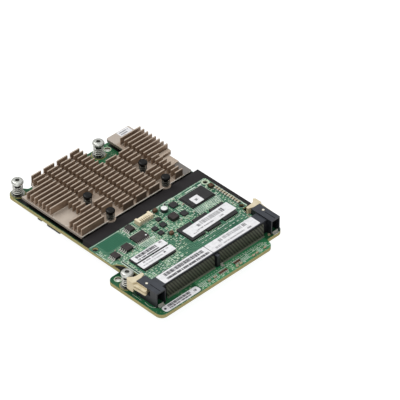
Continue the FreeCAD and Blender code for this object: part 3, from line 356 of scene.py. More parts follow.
MAT["film"] = plastic("insulator_black", hexc("252324"), hexc("2e2c2d"), 0.58, 0.12, 7.0, 0.12, 0.05, hexc("0b0a0a"), 0.95)
MAT["socket"] = plastic("socket_plastic", hexc("30333a"), hexc("3b3f46"), 0.42, 0.42, 4.5, 0.2, 0.12, hexc("121317"), 0.9)
MAT["tan_row"] = plastic("tan_array", hexc("a3987c"), hexc("cfc5a8"), 0.5, 0.4, 4.0, 0.15, 0.9, hexc("4a4230"), 0.7)
MAT["mask_dot"] = plastic("mask_dots", hexc("3c8566"), hexc("57a07f"), 0.6, 0.3, 6.0, 0.1, 0.9)
MAT["chip"] = plastic("moulded_epoxy", hexc("272728"), hexc("313132"), 0.58, 0.32, 8.0, 0.25, 0.6, hexc("131313"))
MAT["chip_brown"] = plastic("moulded_epoxy_warm", hexc("2f2a29"), hexc("3b3534"), 0.55, 0.32, 8.0, 0.25, 0.6, hexc("151312"))
MAT["pin"] = plastic("black_nylon", hexc("080808"), hexc("111110"), 0.34, 0.22, 5.0, 0.1, 0.8)
MAT["pad"] = plastic("silicone_pad", hexc("8a8c90"), hexc("9a9ca0"), 0.8, 0.2, 3.0, 0.3, 0.5)
MAT["ivory"] = plastic("ivory_nylon", hexc("cfc3a3"), hexc("ded3b8"), 0.42, 0.4, 3.0, 0.12, 0.25, hexc("bfae88"), 0.6)
MAT["cream"] = plastic("cream_nylon", hexc("ddcfb0"), hexc("ece2c8"), 0.45, 0.4, 3.0, 0.12, 0.35, hexc("c9b792"), 0.6)
MAT["tan"] = plastic("tan_ceramic", hexc("8f8268"), hexc("b5a98c"), 0.5, 0.4, 6.0, 0.15, 1.2)
MAT["brown"] = plastic("brown_ceramic", hexc("3d2a1c"), hexc("684930"), 0.5, 0.4, 6.0, 0.15, 1.2)
MAT["resist"] = plastic("resistor_glaze", hexc("16171a"), hexc("232528"), 0.3, 0.5, 6.0, 0.1, 1.0)
MAT["silk"] = plastic("silkscreen_ink", hexc("c4cfc2"), hexc("dfe6dc"), 0.7, 0.2, 9.0, 0.3, 1.5)
MAT["white_top"] = plastic("white_cap", hexc("d9dddc"), hexc("eef0ef"), 0.35, 0.45, 3.0, 0.05, 0.6)
MAT["dark_line"] = plastic("dark_mask", hexc("143d2b"), hexc("1b4a35"), 0.45, 0.35, 6.0, 0.1, 0.8)


def metal(name, c1, c2, rough=0.28, grain=3.0, stretch=(1, 1, 6), metallic=1.0, strength=0.12):
    g = G(name)
    t = g.noise(grain, 4.0, 0.6, vec=g.mapv(scale=stretch))
    col = g.mix(g.step(t, 0.3, 0.7), c1, c2)
    r = g.m("ADD", rough - 0.05, g.m("MULTIPLY", t, 0.14))
    g.bump(t, strength, 0.00002)
    return g.done(col, r, metallic, 0.5)


def screw_metal():
    """nickel plate on the head, black patch on the shank, painted shade on the floor of the drive recess"""
    g = G("nickel_screw")
    x, y, z = g.xyz()
    t = g.noise(1.8, 4.0, 0.6, vec=g.mapv(scale=(1, 1, 6)))
    col = g.mix(g.step(t, 0.3, 0.7), hexc("b4b6b0"), hexc("d8d9d3"))
    low = g.m("SUBTRACT", 1.0, g.step(z, 17.0, 17.3))
    col = g.mix(low, col, hexc("0b0a0a"))
    # painted shade in the drive recess
    near = None
    for cx, cy in XY.values():
        dx, dy = g.m("SUBTRACT", x, cx), g.m("SUBTRACT", y, cy)
        d = g.m("SQRT", g.m("ADD", g.m("MULTIPLY", dx, dx), g.m("MULTIPLY", dy, dy)))
        near = d if near is None else g.m("MINIMUM", near, d)
    recess_shade = g.m("MULTIPLY", g.m("SUBTRACT", 1.0, g.step(near, 1.7, 2.1)), g.m("SUBTRACT", 1.0, g.step(z, PIT_Z, PIT_Z + 0.25)))
    col = g.mix(g.m("MULTIPLY", recess_shade, 0.55), col, hexc("3a3936"))
    g.bump(t, 0.12, 0.00002)
    rough = g.m("ADD", g.m("ADD", 0.30, g.m("MULTIPLY", low, 0.35)), g.m("MULTIPLY", t, 0.14))
    return g.done(col, rough, g.m("SUBTRACT", 0.8, g.m("MULTIPLY", low, 0.8)), 0.35)


MAT["screw"] = screw_metal()
MAT["nickel"] = metal("nickel_plate", hexc("8a8c86"), hexc("a8aaa2"), 0.26, 1.8)
MAT["spring"] = metal("spring_wire", hexc("b5b5ae"), hexc("dfdfd7"), 0.30, 4.0, (1, 1, 6), 0.35)
MAT["pin_spring"] = metal("pin_spring_wire", hexc("34342f"), hexc("6a6a62"), 0.34, 4.0, (1, 1, 6), 0.45)
MAT["tin"] = metal("matt_tin", hexc("a9aaa2"), hexc("c9cac2"), 0.42, 3.0, (1, 1, 1), 0.75)
MAT["lead"] = metal("lead_tin", hexc("b9bbb2"), hexc("dcddd4"), 0.45, 3.0, (1, 1, 1), 0.35)
MAT["solder"] = metal("solder_pads", hexc("b0c4a6"), hexc("d0dcc4"), 0.45, 2.5, (1, 1, 1), 0.15)
MAT["olive"] = metal("olive_ring", hexc("8b8450"), hexc("aaa262"), 0.45, 2.5, (1, 1, 1), 0.3)
MAT["gold"] = metal("contact_gold", hexc("b99a4e"), hexc("d0b368"), 0.32, 3.0)


def blade_metal():
    """tinned contacts, crossed by dark bands every 2 mm that slant with height"""
    g = G("blade_tin")
    x, y, z = g.xyz()
    t = g.noise(2.5, 4.0, 0.6, vec=g.mapv(scale=(6, 1, 0.6)))
    col = g.mix(g.step(t, 0.3, 0.7), hexc("5c5f50"), hexc("727565"))
    u = g.m("FRACT", g.m("MULTIPLY", g.m("ADD", x, g.m("MULTIPLY", z, 0.62)), 0.50))
    band = g.m("MULTIPLY", g.step(u, 0.05, 0.30), g.m("SUBTRACT", 1.0, g.step(u, 0.55, 0.80)))
    col = g.mix(band, g.mix(0.72, col, hexc("1b1c17")), col)
    foot = g.m("SUBTRACT", 1.0, g.step(z, 10.25, 10.6))
    col = g.mix(foot, col, hexc("8d9081"))
    g.bump(t, 0.12, 0.00002)
    return g.done(col, g.m("ADD", 0.40, g.m("MULTIPLY", t, 0.14)), 0.30, 0.4)


MAT["blade"] = blade_metal()


def paper(name, layout, warm=False):
    """white label with grey rows and an irregular field of bars; layout holds
    (kind, x0, y0, x1, y1, darkness) in millimetres of the object's own frame"""
    g = G(name)
    x, y, z = g.xyz()
    nx, ny, nz = g.normal()
    base = g.mix(g.step(g.noise(0.6, 3.0), 0.3, 0.7), hexc("dcdcde"), hexc("ececee"))
    col = base
    for kind, x0, y0, x1, y1, dark in layout:
        m = inside(g, x, y, x0, y0, x1, y1, 0.06)
        if kind == "bars":
            # bars of uneven width with no code in them
            v = g.n("ShaderNodeCombineXYZ")
            g.put(v.inputs[0], g.m("MULTIPLY", x, 1.0))
            n = g.noise(1.9, 2.0, 0.8, vec=v.outputs[0])
            m = g.m("MULTIPLY", m, g.step(n, 0.43, 0.49))
        elif kind == "row":
            v = g.n("ShaderNodeCombineXYZ")
            g.put(v.inputs[0], g.m("MULTIPLY", x, 1.0))
            g.put(v.inputs[1], g.m("MULTIPLY", y, 0.05))
            n = g.noise(1.4, 1.0, 0.5, vec=v.outputs[0])
            m = g.m("MULTIPLY", m, g.step(n, 0.36, 0.46))
        m = g.m("MULTIPLY", m, g.step(nz, 0.5, 0.8))
        col = g.mix(g.m("MULTIPLY", m, min(0.95, dark * 1.25)), col, hexc("2b2a31") if not warm else hexc("4a4448"))
    g.bump(g.noise(3.0, 4.0, 0.6), 0.12, 0.00003)
    return g.done(col, g.m("ADD", 0.46, g.m("MULTIPLY", g.noise(2.0, 2.0), 0.1)), 0.0, 0.35)


# ----------------------------------------------------------------------------
# mesh helpers (all lengths in millimetres, turned to metres at the end)
# ----------------------------------------------------------------------------
class Mesh:
    def __init__(self):
        self.bm = bmesh.new()

    def box(self, x0, y0, z0, x1, y1, z1, rot=0.0, cx=None, cy=None, chamfer=0.0):
        """a box, its upper edges drawn in by chamfer, turned by rot about (cx, cy)"""
        cx = (x0 + x1) / 2 if cx is None else cx
        cy = (y0 + y1) / 2 if cy is None else cy
        c, s = math.cos(rot), math.sin(rot)

        def p(x, y, z):
            dx, dy = x - cx, y - cy
            return self.bm.verts.new(((cx + dx * c - dy * s) * MM, (cy + dx * s + dy * c) * MM, z * MM))
        k = chamfer
        rings = [[p(x0, y0, z0), p(x1, y0, z0), p(x1, y1, z0), p(x0, y1, z0)]]
        if k:
            rings.append([p(x0, y0, z1 - k), p(x1, y0, z1 - k), p(x1, y1, z1 - k), p(x0, y1, z1 - k)])
            rings.append([p(x0 + k, y0 + k, z1), p(x1 - k, y0 + k, z1), p(x1 - k, y1 - k, z1), p(x0 + k, y1 - k, z1)])
        else:
            rings.append([p(x0, y0, z1), p(x1, y0, z1), p(x1, y1, z1), p(x0, y1, z1)])
        self.bm.faces.new(rings[0][::-1])
        for a, b in zip(rings, rings[1:]):
            for i in range(4):
                self.bm.faces.new((a[i], a[(i + 1) % 4], b[(i + 1) % 4], b[i]))
        self.bm.faces.new(rings[-1])

    def lathe(self, cx, cy, prof, n=32, phase=0.0):
        """a closed turned solid: prof is (radius, height) from the bottom axis to the top axis"""
        rings = []
        for r, z in prof:
            if r <= 1e-6:
                rings.append([self.bm.verts.new((cx * MM, cy * MM, z * MM))])
            else:
                rings.append([self.bm.verts.new(((cx + r * math.cos(phase + 2 * math.pi * i / n)) * MM,
                                                 (cy + r * math.sin(phase + 2 * math.pi * i / n)) * MM, z * MM)) for i in range(n)])
        for a, b in zip(rings, rings[1:]):
            for i in range(n):
                j = (i + 1) % n
                if len(a) == 1 and len(b) == 1:
                    continue
                if len(a) == 1:
                    self.bm.faces.new((a[0], b[j], b[i]))
                elif len(b) == 1:
                    self.bm.faces.new((a[i], a[j], b[0]))
                else:
                    self.bm.faces.new((a[i], a[j], b[j], b[i]))

    def ring(self, cx, cy, r0, r1, z0, z1, n=40, a0=0.0, a1=2 * math.pi):
        """a flat ring or arc of rectangular section"""
        full = abs(a1 - a0 - 2 * math.pi) < 1e-6
        m = n if full else n + 1
        secs = []
        for i in range(m):
            t = a0 + (a1 - a0) * i / n
            c, s = math.cos(t), math.sin(t)
            secs.append([self.bm.verts.new(((cx + r * c) * MM, (cy + r * s) * MM, z * MM)) for r, z in ((r0, z0), (r1, z0), (r1, z1), (r0, z1))])
        for i in range(n if full else n):
            a, b = secs[i], secs[(i + 1) % m]
            for k in range(4):
                self.bm.faces.new((a[k], b[k], b[(k + 1) % 4], a[(k + 1) % 4]))
        if not full:
            self.bm.faces.new(secs[0])
            self.bm.faces.new(secs[-1][::-1])

    def prism(self, pts, axis, lo, hi):
        """an outline pushed along an axis: axis 0 takes (y, z), 1 takes (x, z), 2 takes (x, y)"""
        def v(p, t):
            q = [(t, p[0], p[1]), (p[0], t, p[1]), (p[0], p[1], t)][axis]
            return self.bm.verts.new((q[0] * MM, q[1] * MM, q[2] * MM))
        a = [v(p, lo) for p in pts]
        b = [v(p, hi) for p in pts]
        n = len(pts)
        for i in range(n):
            self.bm.faces.new((a[i], a[(i + 1) % n], b[(i + 1) % n], b[i]))
        self.bm.faces.new(a[::-1])
        self.bm.faces.new(b)

    def make(self, name, mat, body="card", slot=None, bevel=0.0, seg=1, smooth=False, angle=35):
        bmesh.ops.recalc_face_normals(self.bm, faces=self.bm.faces)
        me = bpy.data.meshes.new(name)
        self.bm.to_mesh(me)
        self.bm.free()
        o = bpy.data.objects.new(name, me)
        scene.collection.objects.link(o)
        me.materials.append(mat)
        if smooth:
            for p in me.polygons:
                p.use_smooth = True
            me.set_sharp_from_angle(angle=math.radians(angle))
        if bevel:
            b = o.modifiers.new("bevel", "BEVEL")
            b.width = bevel * MM
            b.segments = seg
            b.limit_method = "ANGLE"
            b.angle_limit = math.radians(40)
        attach(o, body)
        return o


def small_material():
    """moulded epoxy, but the part in the right rear corner is a brown ceramic"""
    g = G("small_packages")
    x, y, z = g.xyz()
    nz = g.normal()[2]
    grain = g.noise(0.8, 3.0)
    col = g.mix(g.step(grain, 0.3, 0.7), hexc("272728"), hexc("313132"))
    warm = g.mix(g.step(g.noise(1.3, 2.0), 0.4, 0.6), hexc("3d2a1c"), hexc("6f5136"))
    col = g.mix(g.step(x, 39.0, 40.0), col, warm)
    # painted shade on the upright faces
    col = g.mix(g.m("MULTIPLY", g.m("SUBTRACT", 1.0, g.step(nz, 0.2, 0.7)), 0.7), col, hexc("131212"))
    g.bump(g.noise(7.0, 3.0, 0.6), 0.2, 0.00003)
    return g.done(col, g.m("ADD", 0.5, g.m("MULTIPLY", grain, 0.12)), 0.0, 0.32)


def paint(node, mat):
    o = NODES[node]
    o.data.materials.clear()
    o.data.materials.append(mat)


def soften(node, width, seg=2, angle=40, smooth=True):
    """joins the split corners of a CAD node and rounds its edges a little"""
    o = NODES[node]
    w = o.modifiers.new("weld", "WELD")
    w.merge_threshold = 0.000004
    b = o.modifiers.new("bevel", "BEVEL")
    b.width = width * MM
    b.segments = seg
    b.limit_method = "ANGLE"
    b.angle_limit = math.radians(angle)
    b.harden_normals = False
    b.use_clamp_overlap = True
    return o


# ----------------------------------------------------------------------------
# CAD nodes: finishes
# ----------------------------------------------------------------------------
WHERE = ("rear_left", "rear_right", "front_left")
paint("main_board", MAT["board"])
paint("cache_board", MAT["module"])
paint("heat_sink", MAT["sink"])
paint("raid_processor", MAT["chip"])
paint("thermal_pad", MAT["pad"])
paint("push_pins", MAT["pin"])
paint("push_pin_springs", MAT["pin_spring"])
paint("insulator_sheet", MAT["film"])
paint("socket_housing", MAT["socket"])
paint("socket_contacts", MAT["blade"])
paint("socket_solder_tabs", MAT["tin"])
paint("latch_left", MAT["ivory"])
paint("latch_right", MAT["ivory"])
for n in ("flash_controller", "memory_chips", "regulator_chips", "underside_chips"):
    paint(n, MAT["chip"])
for n in ("logic_chips", "bus_driver_chip"):
    paint(n, MAT["chip_brown"])
paint("small_transistors", small_material())
paint("module_capacitors", MAT["brown"])
paint("power_inductor", MAT["chip_brown"])
paint("storage_capacitor", MAT["resist"])
paint("pack_header", MAT["cream"])
paint("header_pins", MAT["tin"])
paint("board_capacitors", MAT["tan"])
paint("mezzanine_connector", MAT["socket"])
paint("mezzanine_contacts", MAT["gold"])
paint("screw_ferrules", MAT["nickel"])
for w in WHERE:
    paint("screw_" + w, MAT["screw"])
    paint("screw_ring_" + w, MAT["spring"])
    paint("screw_spring_" + w, MAT["spring"])
for n, wd in (("heat_sink", 0.10), ("socket_housing", 0.16), ("latch_left", 0.3), ("latch_right", 0.3), ("pack_header", 0.15),
              ("flash_controller", 0.12), ("memory_chips", 0.12), ("logic_chips", 0.15), ("bus_driver_chip", 0.12), ("insulator_sheet", 0.12),
              ("power_inductor", 0.5), ("small_transistors", 0.15), ("module_capacitors", 0.12), ("board_capacitors", 0.1),
              ("regulator_chips", 0.08), ("mezzanine_connector", 0.2), ("underside_chips", 0.15), ("socket_solder_tabs", 0.05),
              ("main_board", 0.12), ("cache_board", 0.08)):
    soften(n, wd, 2 if wd > 0.15 else 1)

# ----------------------------------------------------------------------------
# labels
# ----------------------------------------------------------------------------
def label(name, x0, y0, x1, y1, z, rot, layout, thick=0.09, corner=0.5, sag=0.0, slot="label_white"):
    """a thin sheet with rounded corners, turned by rot degrees; sag lets it dip between its supports"""
    m = Mesh()
    cx, cy = (x0 + x1) / 2, (y0 + y1) / 2
    a = math.radians(rot)
    nx = 40
    c, s = math.cos(a), math.sin(a)

    def edge(t):
        d = min(t - x0, x1 - t)
        return 0.0 if d >= corner else corner - math.sqrt(max(0.0, corner * corner - (corner - d) ** 2))
    cols = []
    xs = [x0, x0 + corner * 0.15, x0 + corner * 0.5, x0 + corner] + [x0 + corner + (x1 - x0 - 2 * corner) * i / nx for i in range(1, nx)] + \
         [x1 - corner, x1 - corner * 0.5, x1 - corner * 0.15, x1]
    for xx in xs:
        e = edge(xx)
        dz = -sag * math.sin(math.pi * (xx - x0) / (x1 - x0) * 2.0) ** 2
        col = []
        for yy, zz in ((y0 + e, z), (y1 - e, z), (y1 - e, z + thick), (y0 + e, z + thick)):
            dx, dy = xx - cx, yy - cy
            col.append(m.bm.verts.new(((cx + dx * c - dy * s) * MM, (cy + dx * s + dy * c) * MM, (zz + dz) * MM)))
        cols.append(col)
    for p, q in zip(cols, cols[1:]):
        for k in range(4):
            m.bm.faces.new((p[k], q[k], q[(k + 1) % 4], p[(k + 1) % 4]))
    m.bm.faces.new(cols[0])
    m.bm.faces.new(cols[-1][::-1])
    return m.make(name, paper("paper_" + name, layout), slot=slot)


LAB_Z = 17.55
la = label("label_module_a", -35.7, -33.8, -11.3, -28.6, LAB_Z, 0, [
    ("bars", -33.2, -31.5, -17.6, -29.3, 0.75), ("row", -33.4, -33.3, -17.4, -32.2, 0.7), ("bars", -14.9, -30.4, -12.9, -29.0, 0.7)])
lb = label("label_module_b", -36.4, -40.3, -11.2, -35.0, LAB_Z, 0, [
    ("row", -33.0, -36.7, -13.6, -35.7, 0.45), ("row", -34.6, -38.9, -20.0, -37.9, 0.3), ("row", -18.6, -38.3, -17.2, -37.3, 0.8)])
lc = label("label_module_c", 1.9, -39.2, 37.9, -31.0, LAB_Z, 1.9, [
    ("bars", 11.0, -35.4, 13.2, -33.2, 0.62), ("bars", 14.0, -35.2, 29.0, -32.2, 0.42), ("bars", 29.4, -35.2, 32.0, -32.0, 0.7),
    ("row", 8.0, -37.6, 21.0, -36.7, 0.5), ("row", 4.0, -38.4, 9.0, -37.7, 0.35), ("row", 26.0, -37.6, 29.0, -36.6, 0.45)])
ld = label("label_module_d", 24.3, -20.1, 30.6, -13.8, LAB_Z, 0, [("row", 26.4, -17.9, 28.6, -16.1, 0.7)])
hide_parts("module_labels")
le = label("label_socket_a", -37.8, -58.7, -0.6, -51.1, 19.1, 0.3, [
    ("bars", -33.4, -54.8, -3.6, -52.2, 0.72), ("row", -34.2, -57.6, -1.8, -55.9, 0.72)])
lf = label("label_socket_b", -0.2, -58.6, 37.0, -51.0, 19.1, 0.0, [
    ("bars", 8.6, -54.6, 11.4, -52.4, 0.55), ("bars", 12.4, -54.4, 27.0, -52.0, 0.38), ("bars", 27.8, -54.4, 30.4, -52.0, 0.6),
    ("row", 3.0, -57.6, 8.2, -56.0, 0.35), ("row", 10.0, -57.2, 26.0, -56.2, 0.4), ("row", 28.2, -57.6, 31.2, -56.4, 0.5)])
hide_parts("socket_labels")
lg = label("label_board", -46.8, -69.2, -19.6, -64.4, 10.0, 0, [
    ("bars", -42.8, -66.8, -25.8, -65.0, 0.72), ("row", -42.8, -68.4, -26.6, -67.2, 0.68), ("bars", -23.4, -67.6, -21.6, -66.0, 0.7)], corner=1.6)
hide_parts("board_label")
lh = label("label_sink", 39.6, 57.4, 48.6, 63.0, 14.6, 0, [
    ("row", 40.6, 61.0, 47.6, 62.0, 0.5), ("row", 40.6, 59.2, 45.6, 60.3, 0.5), ("row", 40.6, 58.0, 43.6, 58.6, 0.4)], corner=0.4)
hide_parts("heat_sink_label")
dot = Mesh()
dot.lathe(-45.2, -66.6, [(0, 10.09), (0.75, 10.09), (0.75, 10.13), (0, 10.13)], 20)
dot.make("label_dot", MAT["resist"], slot="label_white")

# ----------------------------------------------------------------------------
# small parts, pads and silkscreen on the cache module and on the board
# ----------------------------------------------------------------------------
tan_b, dark_bodies_and_shade, ends, pads, silk, brown_b, lead_m = Mesh(), Mesh(), Mesh(), Mesh(), Mesh(), Mesh(), Mesh()
KEEP = []   # (x0, y0, x1, y1) already taken on the module


def clear_of(x0, y0, x1, y1, taken, gap=0.15):
    return all(x1 + gap < a or c + gap < x0 or y1 + gap < b or d + gap < y0 for a, b, c, d in taken)


def chip_part(x, y, z, L, W, H, kind, along_x=True):
    """a chip capacitor or resistor: body, two plated ends and two pads"""
    body = {"tan": tan_b, "dark": dark_bodies_and_shade, "brown": brown_b}[kind]
    hx, hy = (L / 2, W / 2) if along_x else (W / 2, L / 2)
    e = L * 0.22
    pads_h = 0.03
    if along_x:
        body.box(x - hx + e * 0.8, y - hy, z + 0.03, x + hx - e * 0.8, y + hy, z + H, chamfer=min(0.06, H * 0.2))
        for sgn in (-1, 1):
            a, b = sorted((x + sgn * hx, x + sgn * (hx - e)))
            ends.box(a, y - hy - 0.02, z + 0.02, b, y + hy + 0.02, z + H + 0.02, chamfer=min(0.08, H * 0.25))
            a, b = sorted((x + sgn * (hx + e * 0.7), x + sgn * (hx - e)))
            pads.box(a, y - hy - 0.06, z, b, y + hy + 0.06, z + pads_h)
    else:
        body.box(x - hx, y - hy + e * 0.8, z + 0.03, x + hx, y + hy - e * 0.8, z + H, chamfer=min(0.06, H * 0.2))
        for sgn in (-1, 1):
            a, b = sorted((y + sgn * hy, y + sgn * (hy - e)))
            ends.box(x - hx - 0.02, a, z + 0.02, x + hx + 0.02, b, z + H + 0.02, chamfer=min(0.08, H * 0.25))
            a, b = sorted((y + sgn * (hy + e * 0.7), y + sgn * (hy - e)))
            pads.box(x - hx - 0.06, a, z, x + hx + 0.06, b, z + pads_h)


def silk_rect(x0, y0, x1, y1, z, w=0.16):
    h = 0.02
    for q in ((x0, y0, x1, y0 + w), (x0, y1 - w, x1, y1), (x0, y0 + w, x0 + w, y1 - w), (x1 - w, y0 + w, x1, y1 - w)):
        silk.box(q[0], q[1], z, q[2], q[3], z + h)


def silk_bar(x0, y0, x1, y1, z):
    silk.box(x0, y0, z, x1, y1, z + 0.02)


def silk_line(pts, z, w=0.2):
    for (x0, y0), (x1, y1) in zip(pts, pts[1:]):
        L = math.hypot(x1 - x0, y1 - y0)
        cx, cy = (x0 + x1) / 2, (y0 + y1) / 2
        silk.box(cx - L / 2, cy - w / 2, z, cx + L / 2, cy + w / 2, z + 0.02, rot=math.atan2(y1 - y0, x1 - x0))


def field(x0, y0, x1, y1, z, px, py, mix, taken, fill=0.85, along=None):
    """fills a rectangle with small parts on a loose grid; mix is a list of (weight, kind)"""
    total = sum(w for w, k in mix)
    ny = max(1, int((y1 - y0) / py))
    nx = max(1, int((x1 - x0) / px))
    for j in range(ny):
        for i in range(nx):
            x = x0 + (i + 0.5) * (x1 - x0) / nx + rng.uniform(-0.12, 0.12) * px
            y = y0 + (j + 0.5) * (y1 - y0) / ny + rng.uniform(-0.10, 0.10) * py
            if rng.random() > fill:
                continue
            t = rng.uniform(0, total)
            for w, k in mix:
                t -= w
                if t <= 0:
                    break
            ax = (rng.random() < 0.5) if along is None else along
            size = rng.choice([(1.0, 0.5, 0.45), (1.0, 0.5, 0.45), (1.6, 0.8, 0.7)])
            if k in ("pads", "dots", "bar"):
                size = (1.1, 0.6, 0.05)
            L, W, H = size
            hx, hy = (L / 2 + 0.2, W / 2 + 0.1) if ax else (W / 2 + 0.1, L / 2 + 0.2)
            if not clear_of(x - hx, y - hy, x + hx, y + hy, taken, 0.08):
                continue
            taken.append((x - hx, y - hy, x + hx, y + hy))
            if k in ("tan", "dark", "brown"):
                chip_part(x, y, z, L, W, H, k, ax)
            elif k == "pads":
                for s in (-1, 1):
                    qx, qy = (x + s * 0.35, y) if ax else (x, y + s * 0.35)
                    pads.box(qx - 0.25, qy - 0.3, z, qx + 0.25, qy + 0.3, z + 0.03)
            elif k == "dots":
                pads.lathe(x, y, [(0, z), (0.38, z), (0.38, z + 0.03), (0, z + 0.03)], 10)
            elif k == "bar":
                if ax:
                    silk_bar(x - 0.75, y - 0.2, x + 0.75, y + 0.2, z)
                else:
                    silk_bar(x - 0.2, y - 0.75, x + 0.2, y + 0.75, z)


def leads(x0, y0, x1, y1, z, top, count, side, wide, reach=1.0, mesh=None):
    """gull-wing leads along one side of a chip: side is -x, +x, -y or +y"""
    mesh = mesh or lead_m
    n = count
    for i in range(n):
        if side in ("-x", "+x"):
            c = y0 + (y1 - y0) * (i + 0.5) / n
            s = -1 if side == "-x" else 1
            e = x0 if s < 0 else x1
            pts = [(e - s * 0.1, z + top), (e + s * 0.28, z + top), (e + s * 0.5, z + 0.16), (e + s * reach, z + 0.16),
                   (e + s * reach, z + 0.02), (e + s * 0.38, z + 0.02), (e + s * 0.2, z + top - 0.15), (e - s * 0.1, z + top - 0.15)]
            mesh.prism(pts, 1, c - wide / 2, c + wide / 2)
            a, b = sorted((e + s * 0.4, e + s * (reach + 0.35)))
            pads.box(a, c - wide * 0.62, z, b, c + wide * 0.62, z + 0.03)
        else:
            c = x0 + (x1 - x0) * (i + 0.5) / n
            s = -1 if side == "-y" else 1
            e = y0 if s < 0 else y1
            pts = [(e - s * 0.1, z + top), (e + s * 0.28, z + top), (e + s * 0.5, z + 0.16), (e + s * reach, z + 0.16),
                   (e + s * reach, z + 0.02), (e + s * 0.38, z + 0.02), (e + s * 0.2, z + top - 0.15), (e - s * 0.1, z + top - 0.15)]
            mesh.prism(pts, 0, c - wide / 2, c + wide / 2)
            a, b = sorted((e + s * 0.4, e + s * (reach + 0.35)))
            pads.box(c - wide * 0.62, a, z, c + wide * 0.62, b, z + 0.03)


# chips with leads; places repeat those of the CAD solids
SO = [(-17.4, -8.8, 3.9, 4.9), (-29.9, -20.0, 4.9, 5.6), (-39.4, -20.6, 3.9, 4.9)]
for x, y, w, d in SO:
    for s in ("-x", "+x"):
        leads(x - w / 2, y - d / 2, x + w / 2, y + d / 2, MOD, 1.0, 4, s, 0.60, 1.75)
    # painted shadow between the leads: a dark patch on the module
    dark_bodies_and_shade.box(x - w / 2 - 1.5, y - d / 2, MOD, x + w / 2 + 1.5, y + d / 2, MOD + 0.02)
    KEEP.append((x - w / 2 - 2.2, y - d / 2 - 0.2, x + w / 2 + 2.2, y + d / 2 + 0.2))
for s in ("-y", "+y"):
    leads(-23.15, -20.95, -13.45, -14.85, MOD, 0.62, 8, s, 0.58, 1.35)
# painted shadow between the leads: a dark patch on the module
dark_bodies_and_shade.box(-23.1, -22.1, MOD, -13.5, -13.8, MOD + 0.02)
KEEP.append((-23.4, -22.8, -13.2, -13.2))
KEEP += [(20.8, -20.9, 39.1, -8.7), (-36.5, -41.4, -25.7, -28.4), (-23.1, -41.4, -12.4, -28.4), (0.2, -41.4, 10.9, -28.4), (12.5, -41.4, 23.1, -28.4),
         (25.8, -41.4, 36.4, -28.4), (-12.4, -12.2, 0.2, -6.2), (12.9, -12.8, 17.3, -8.4), (12.3, -22.3, 16.3, -18.3), (6.0, -12.6, 10.4, -8.2),
         (4.6, -21.6, 9.8, -16.4), (-3.1, -21.1, 0.4, -17.6), (-8.8, -20.4, -5.5, -17.2), (-8.8, -25.3, -5.6, -22.2), (40.9, -15.0, 43.8, -12.2),
         (-1.4, -15.4, 1.4, -12.8), (2.4, -8.4, 5.2, -6.4), (-4.6, -29.2, -2.0, -27.0), (-45.4, -10.2, -40.8, -5.8), (40.8, -10.4, 45.4, -5.8),
         (40.6, -41.0, 44.8, -36.2), (-40.5, -15.5, -23.5, -5.2), (-44.0, -44.0, -41.0, -24.0)]

# module: dense fields read from left to right, rear to front
MIX = [(1.2, "tan"), (0.7, "dark"), (4, "pads"), (3, "dots"), (3, "bar")]
for x0, y0, x1, y1, px, py, mix, fill, along in [
        (-44.6, -23.4, -42.4, -11.0, 1.1, 1.3, MIX, 0.95, None),
        (-41.6, -26.4, -24.0, -23.6, 1.2, 0.9, MIX, 0.95, None),
        (-36.6, -22.8, -33.0, -16.2, 1.2, 1.0, MIX, 0.95, None),
        (-26.9, -22.8, -24.0, -16.2, 1.2, 1.0, MIX, 0.95, None),
        (-23.0, -12.9, -13.4, -11.6, 1.1, 1.0, MIX, 0.95, None),
        (-23.2, -11.4, -20.4, -5.4, 1.2, 1.0, MIX, 0.95, None),
        (-14.0, -11.4, -12.2, -5.4, 1.2, 1.0, MIX, 0.95, None),
        (-12.8, -28.0, 20.0, -5.2, 1.22, 1.0, MIX, 0.93, None),
        (20.0, -28.0, 40.4, -26.8, 1.0, 0.9, [(3, "pads"), (1, "bar")], 0.9, None),
        (39.6, -36.0, 41.4, -10.8, 1.1, 1.1, [(1, "tan"), (1, "dark"), (4, "pads"), (2, "bar")], 0.93, None),
        (11.4, -8.2, 20.4, -5.3, 1.1, 0.9, MIX, 0.9, None),
        (-12.2, -41.0, 0.0, -28.0, 1.5, 1.4, [(2, "pads"), (2, "dots"), (2, "bar"), (1, "tan")], 0.62, None),
        (-38.0, -50.2, -12.0, -41.6, 1.15, 0.85, [(3, "pads"), (4, "bar"), (1, "dots")], 0.92, True),
        (-39.0, -41.0, -36.8, -28.0, 1.1, 1.1, [(2, "pads"), (2, "dots"), (1, "bar")], 0.9, None),
        (36.8, -50.2, 40.4, -36.6, 1.2, 1.2, [(3, "pads"), (2, "bar"), (1, "tan")], 0.9, None),
        (-10.0, -50.0, 36.0, -42.0, 3.0, 2.2, [(3, "bar"), (2, "pads")], 0.6, True)]:
    field(x0, y0, x1, y1, MOD, px, py, mix, KEEP, fill, along)
row_m = Mesh()
for k in range(11):
    yy = -16.3 - 2.02 * k
    if clear_of(41.9, yy - 0.7, 45.0, yy + 0.7, [(40.6, -41.0, 44.8, -36.2)], 0.1):
        row_m.box(42.9, yy - 0.62, MOD + 0.03, 44.5, yy + 0.62, MOD + 0.85, chamfer=0.1)
        for xx in (42.55, 44.5):
            ends.box(xx, yy - 0.64, MOD + 0.02, xx + 0.36, yy + 0.64, MOD + 0.87, chamfer=0.06)
        pads.box(41.3, yy - 0.22, MOD, 42.0, yy + 0.22, MOD + 0.03)
        # painted shadow in front of each chip
        dark_bodies_and_shade.box(42.5, yy - 1.32, MOD, 44.9, yy - 0.72, MOD + 0.02)
row_m.make("chips_row", MAT["tan_row"], slot="part_tan")
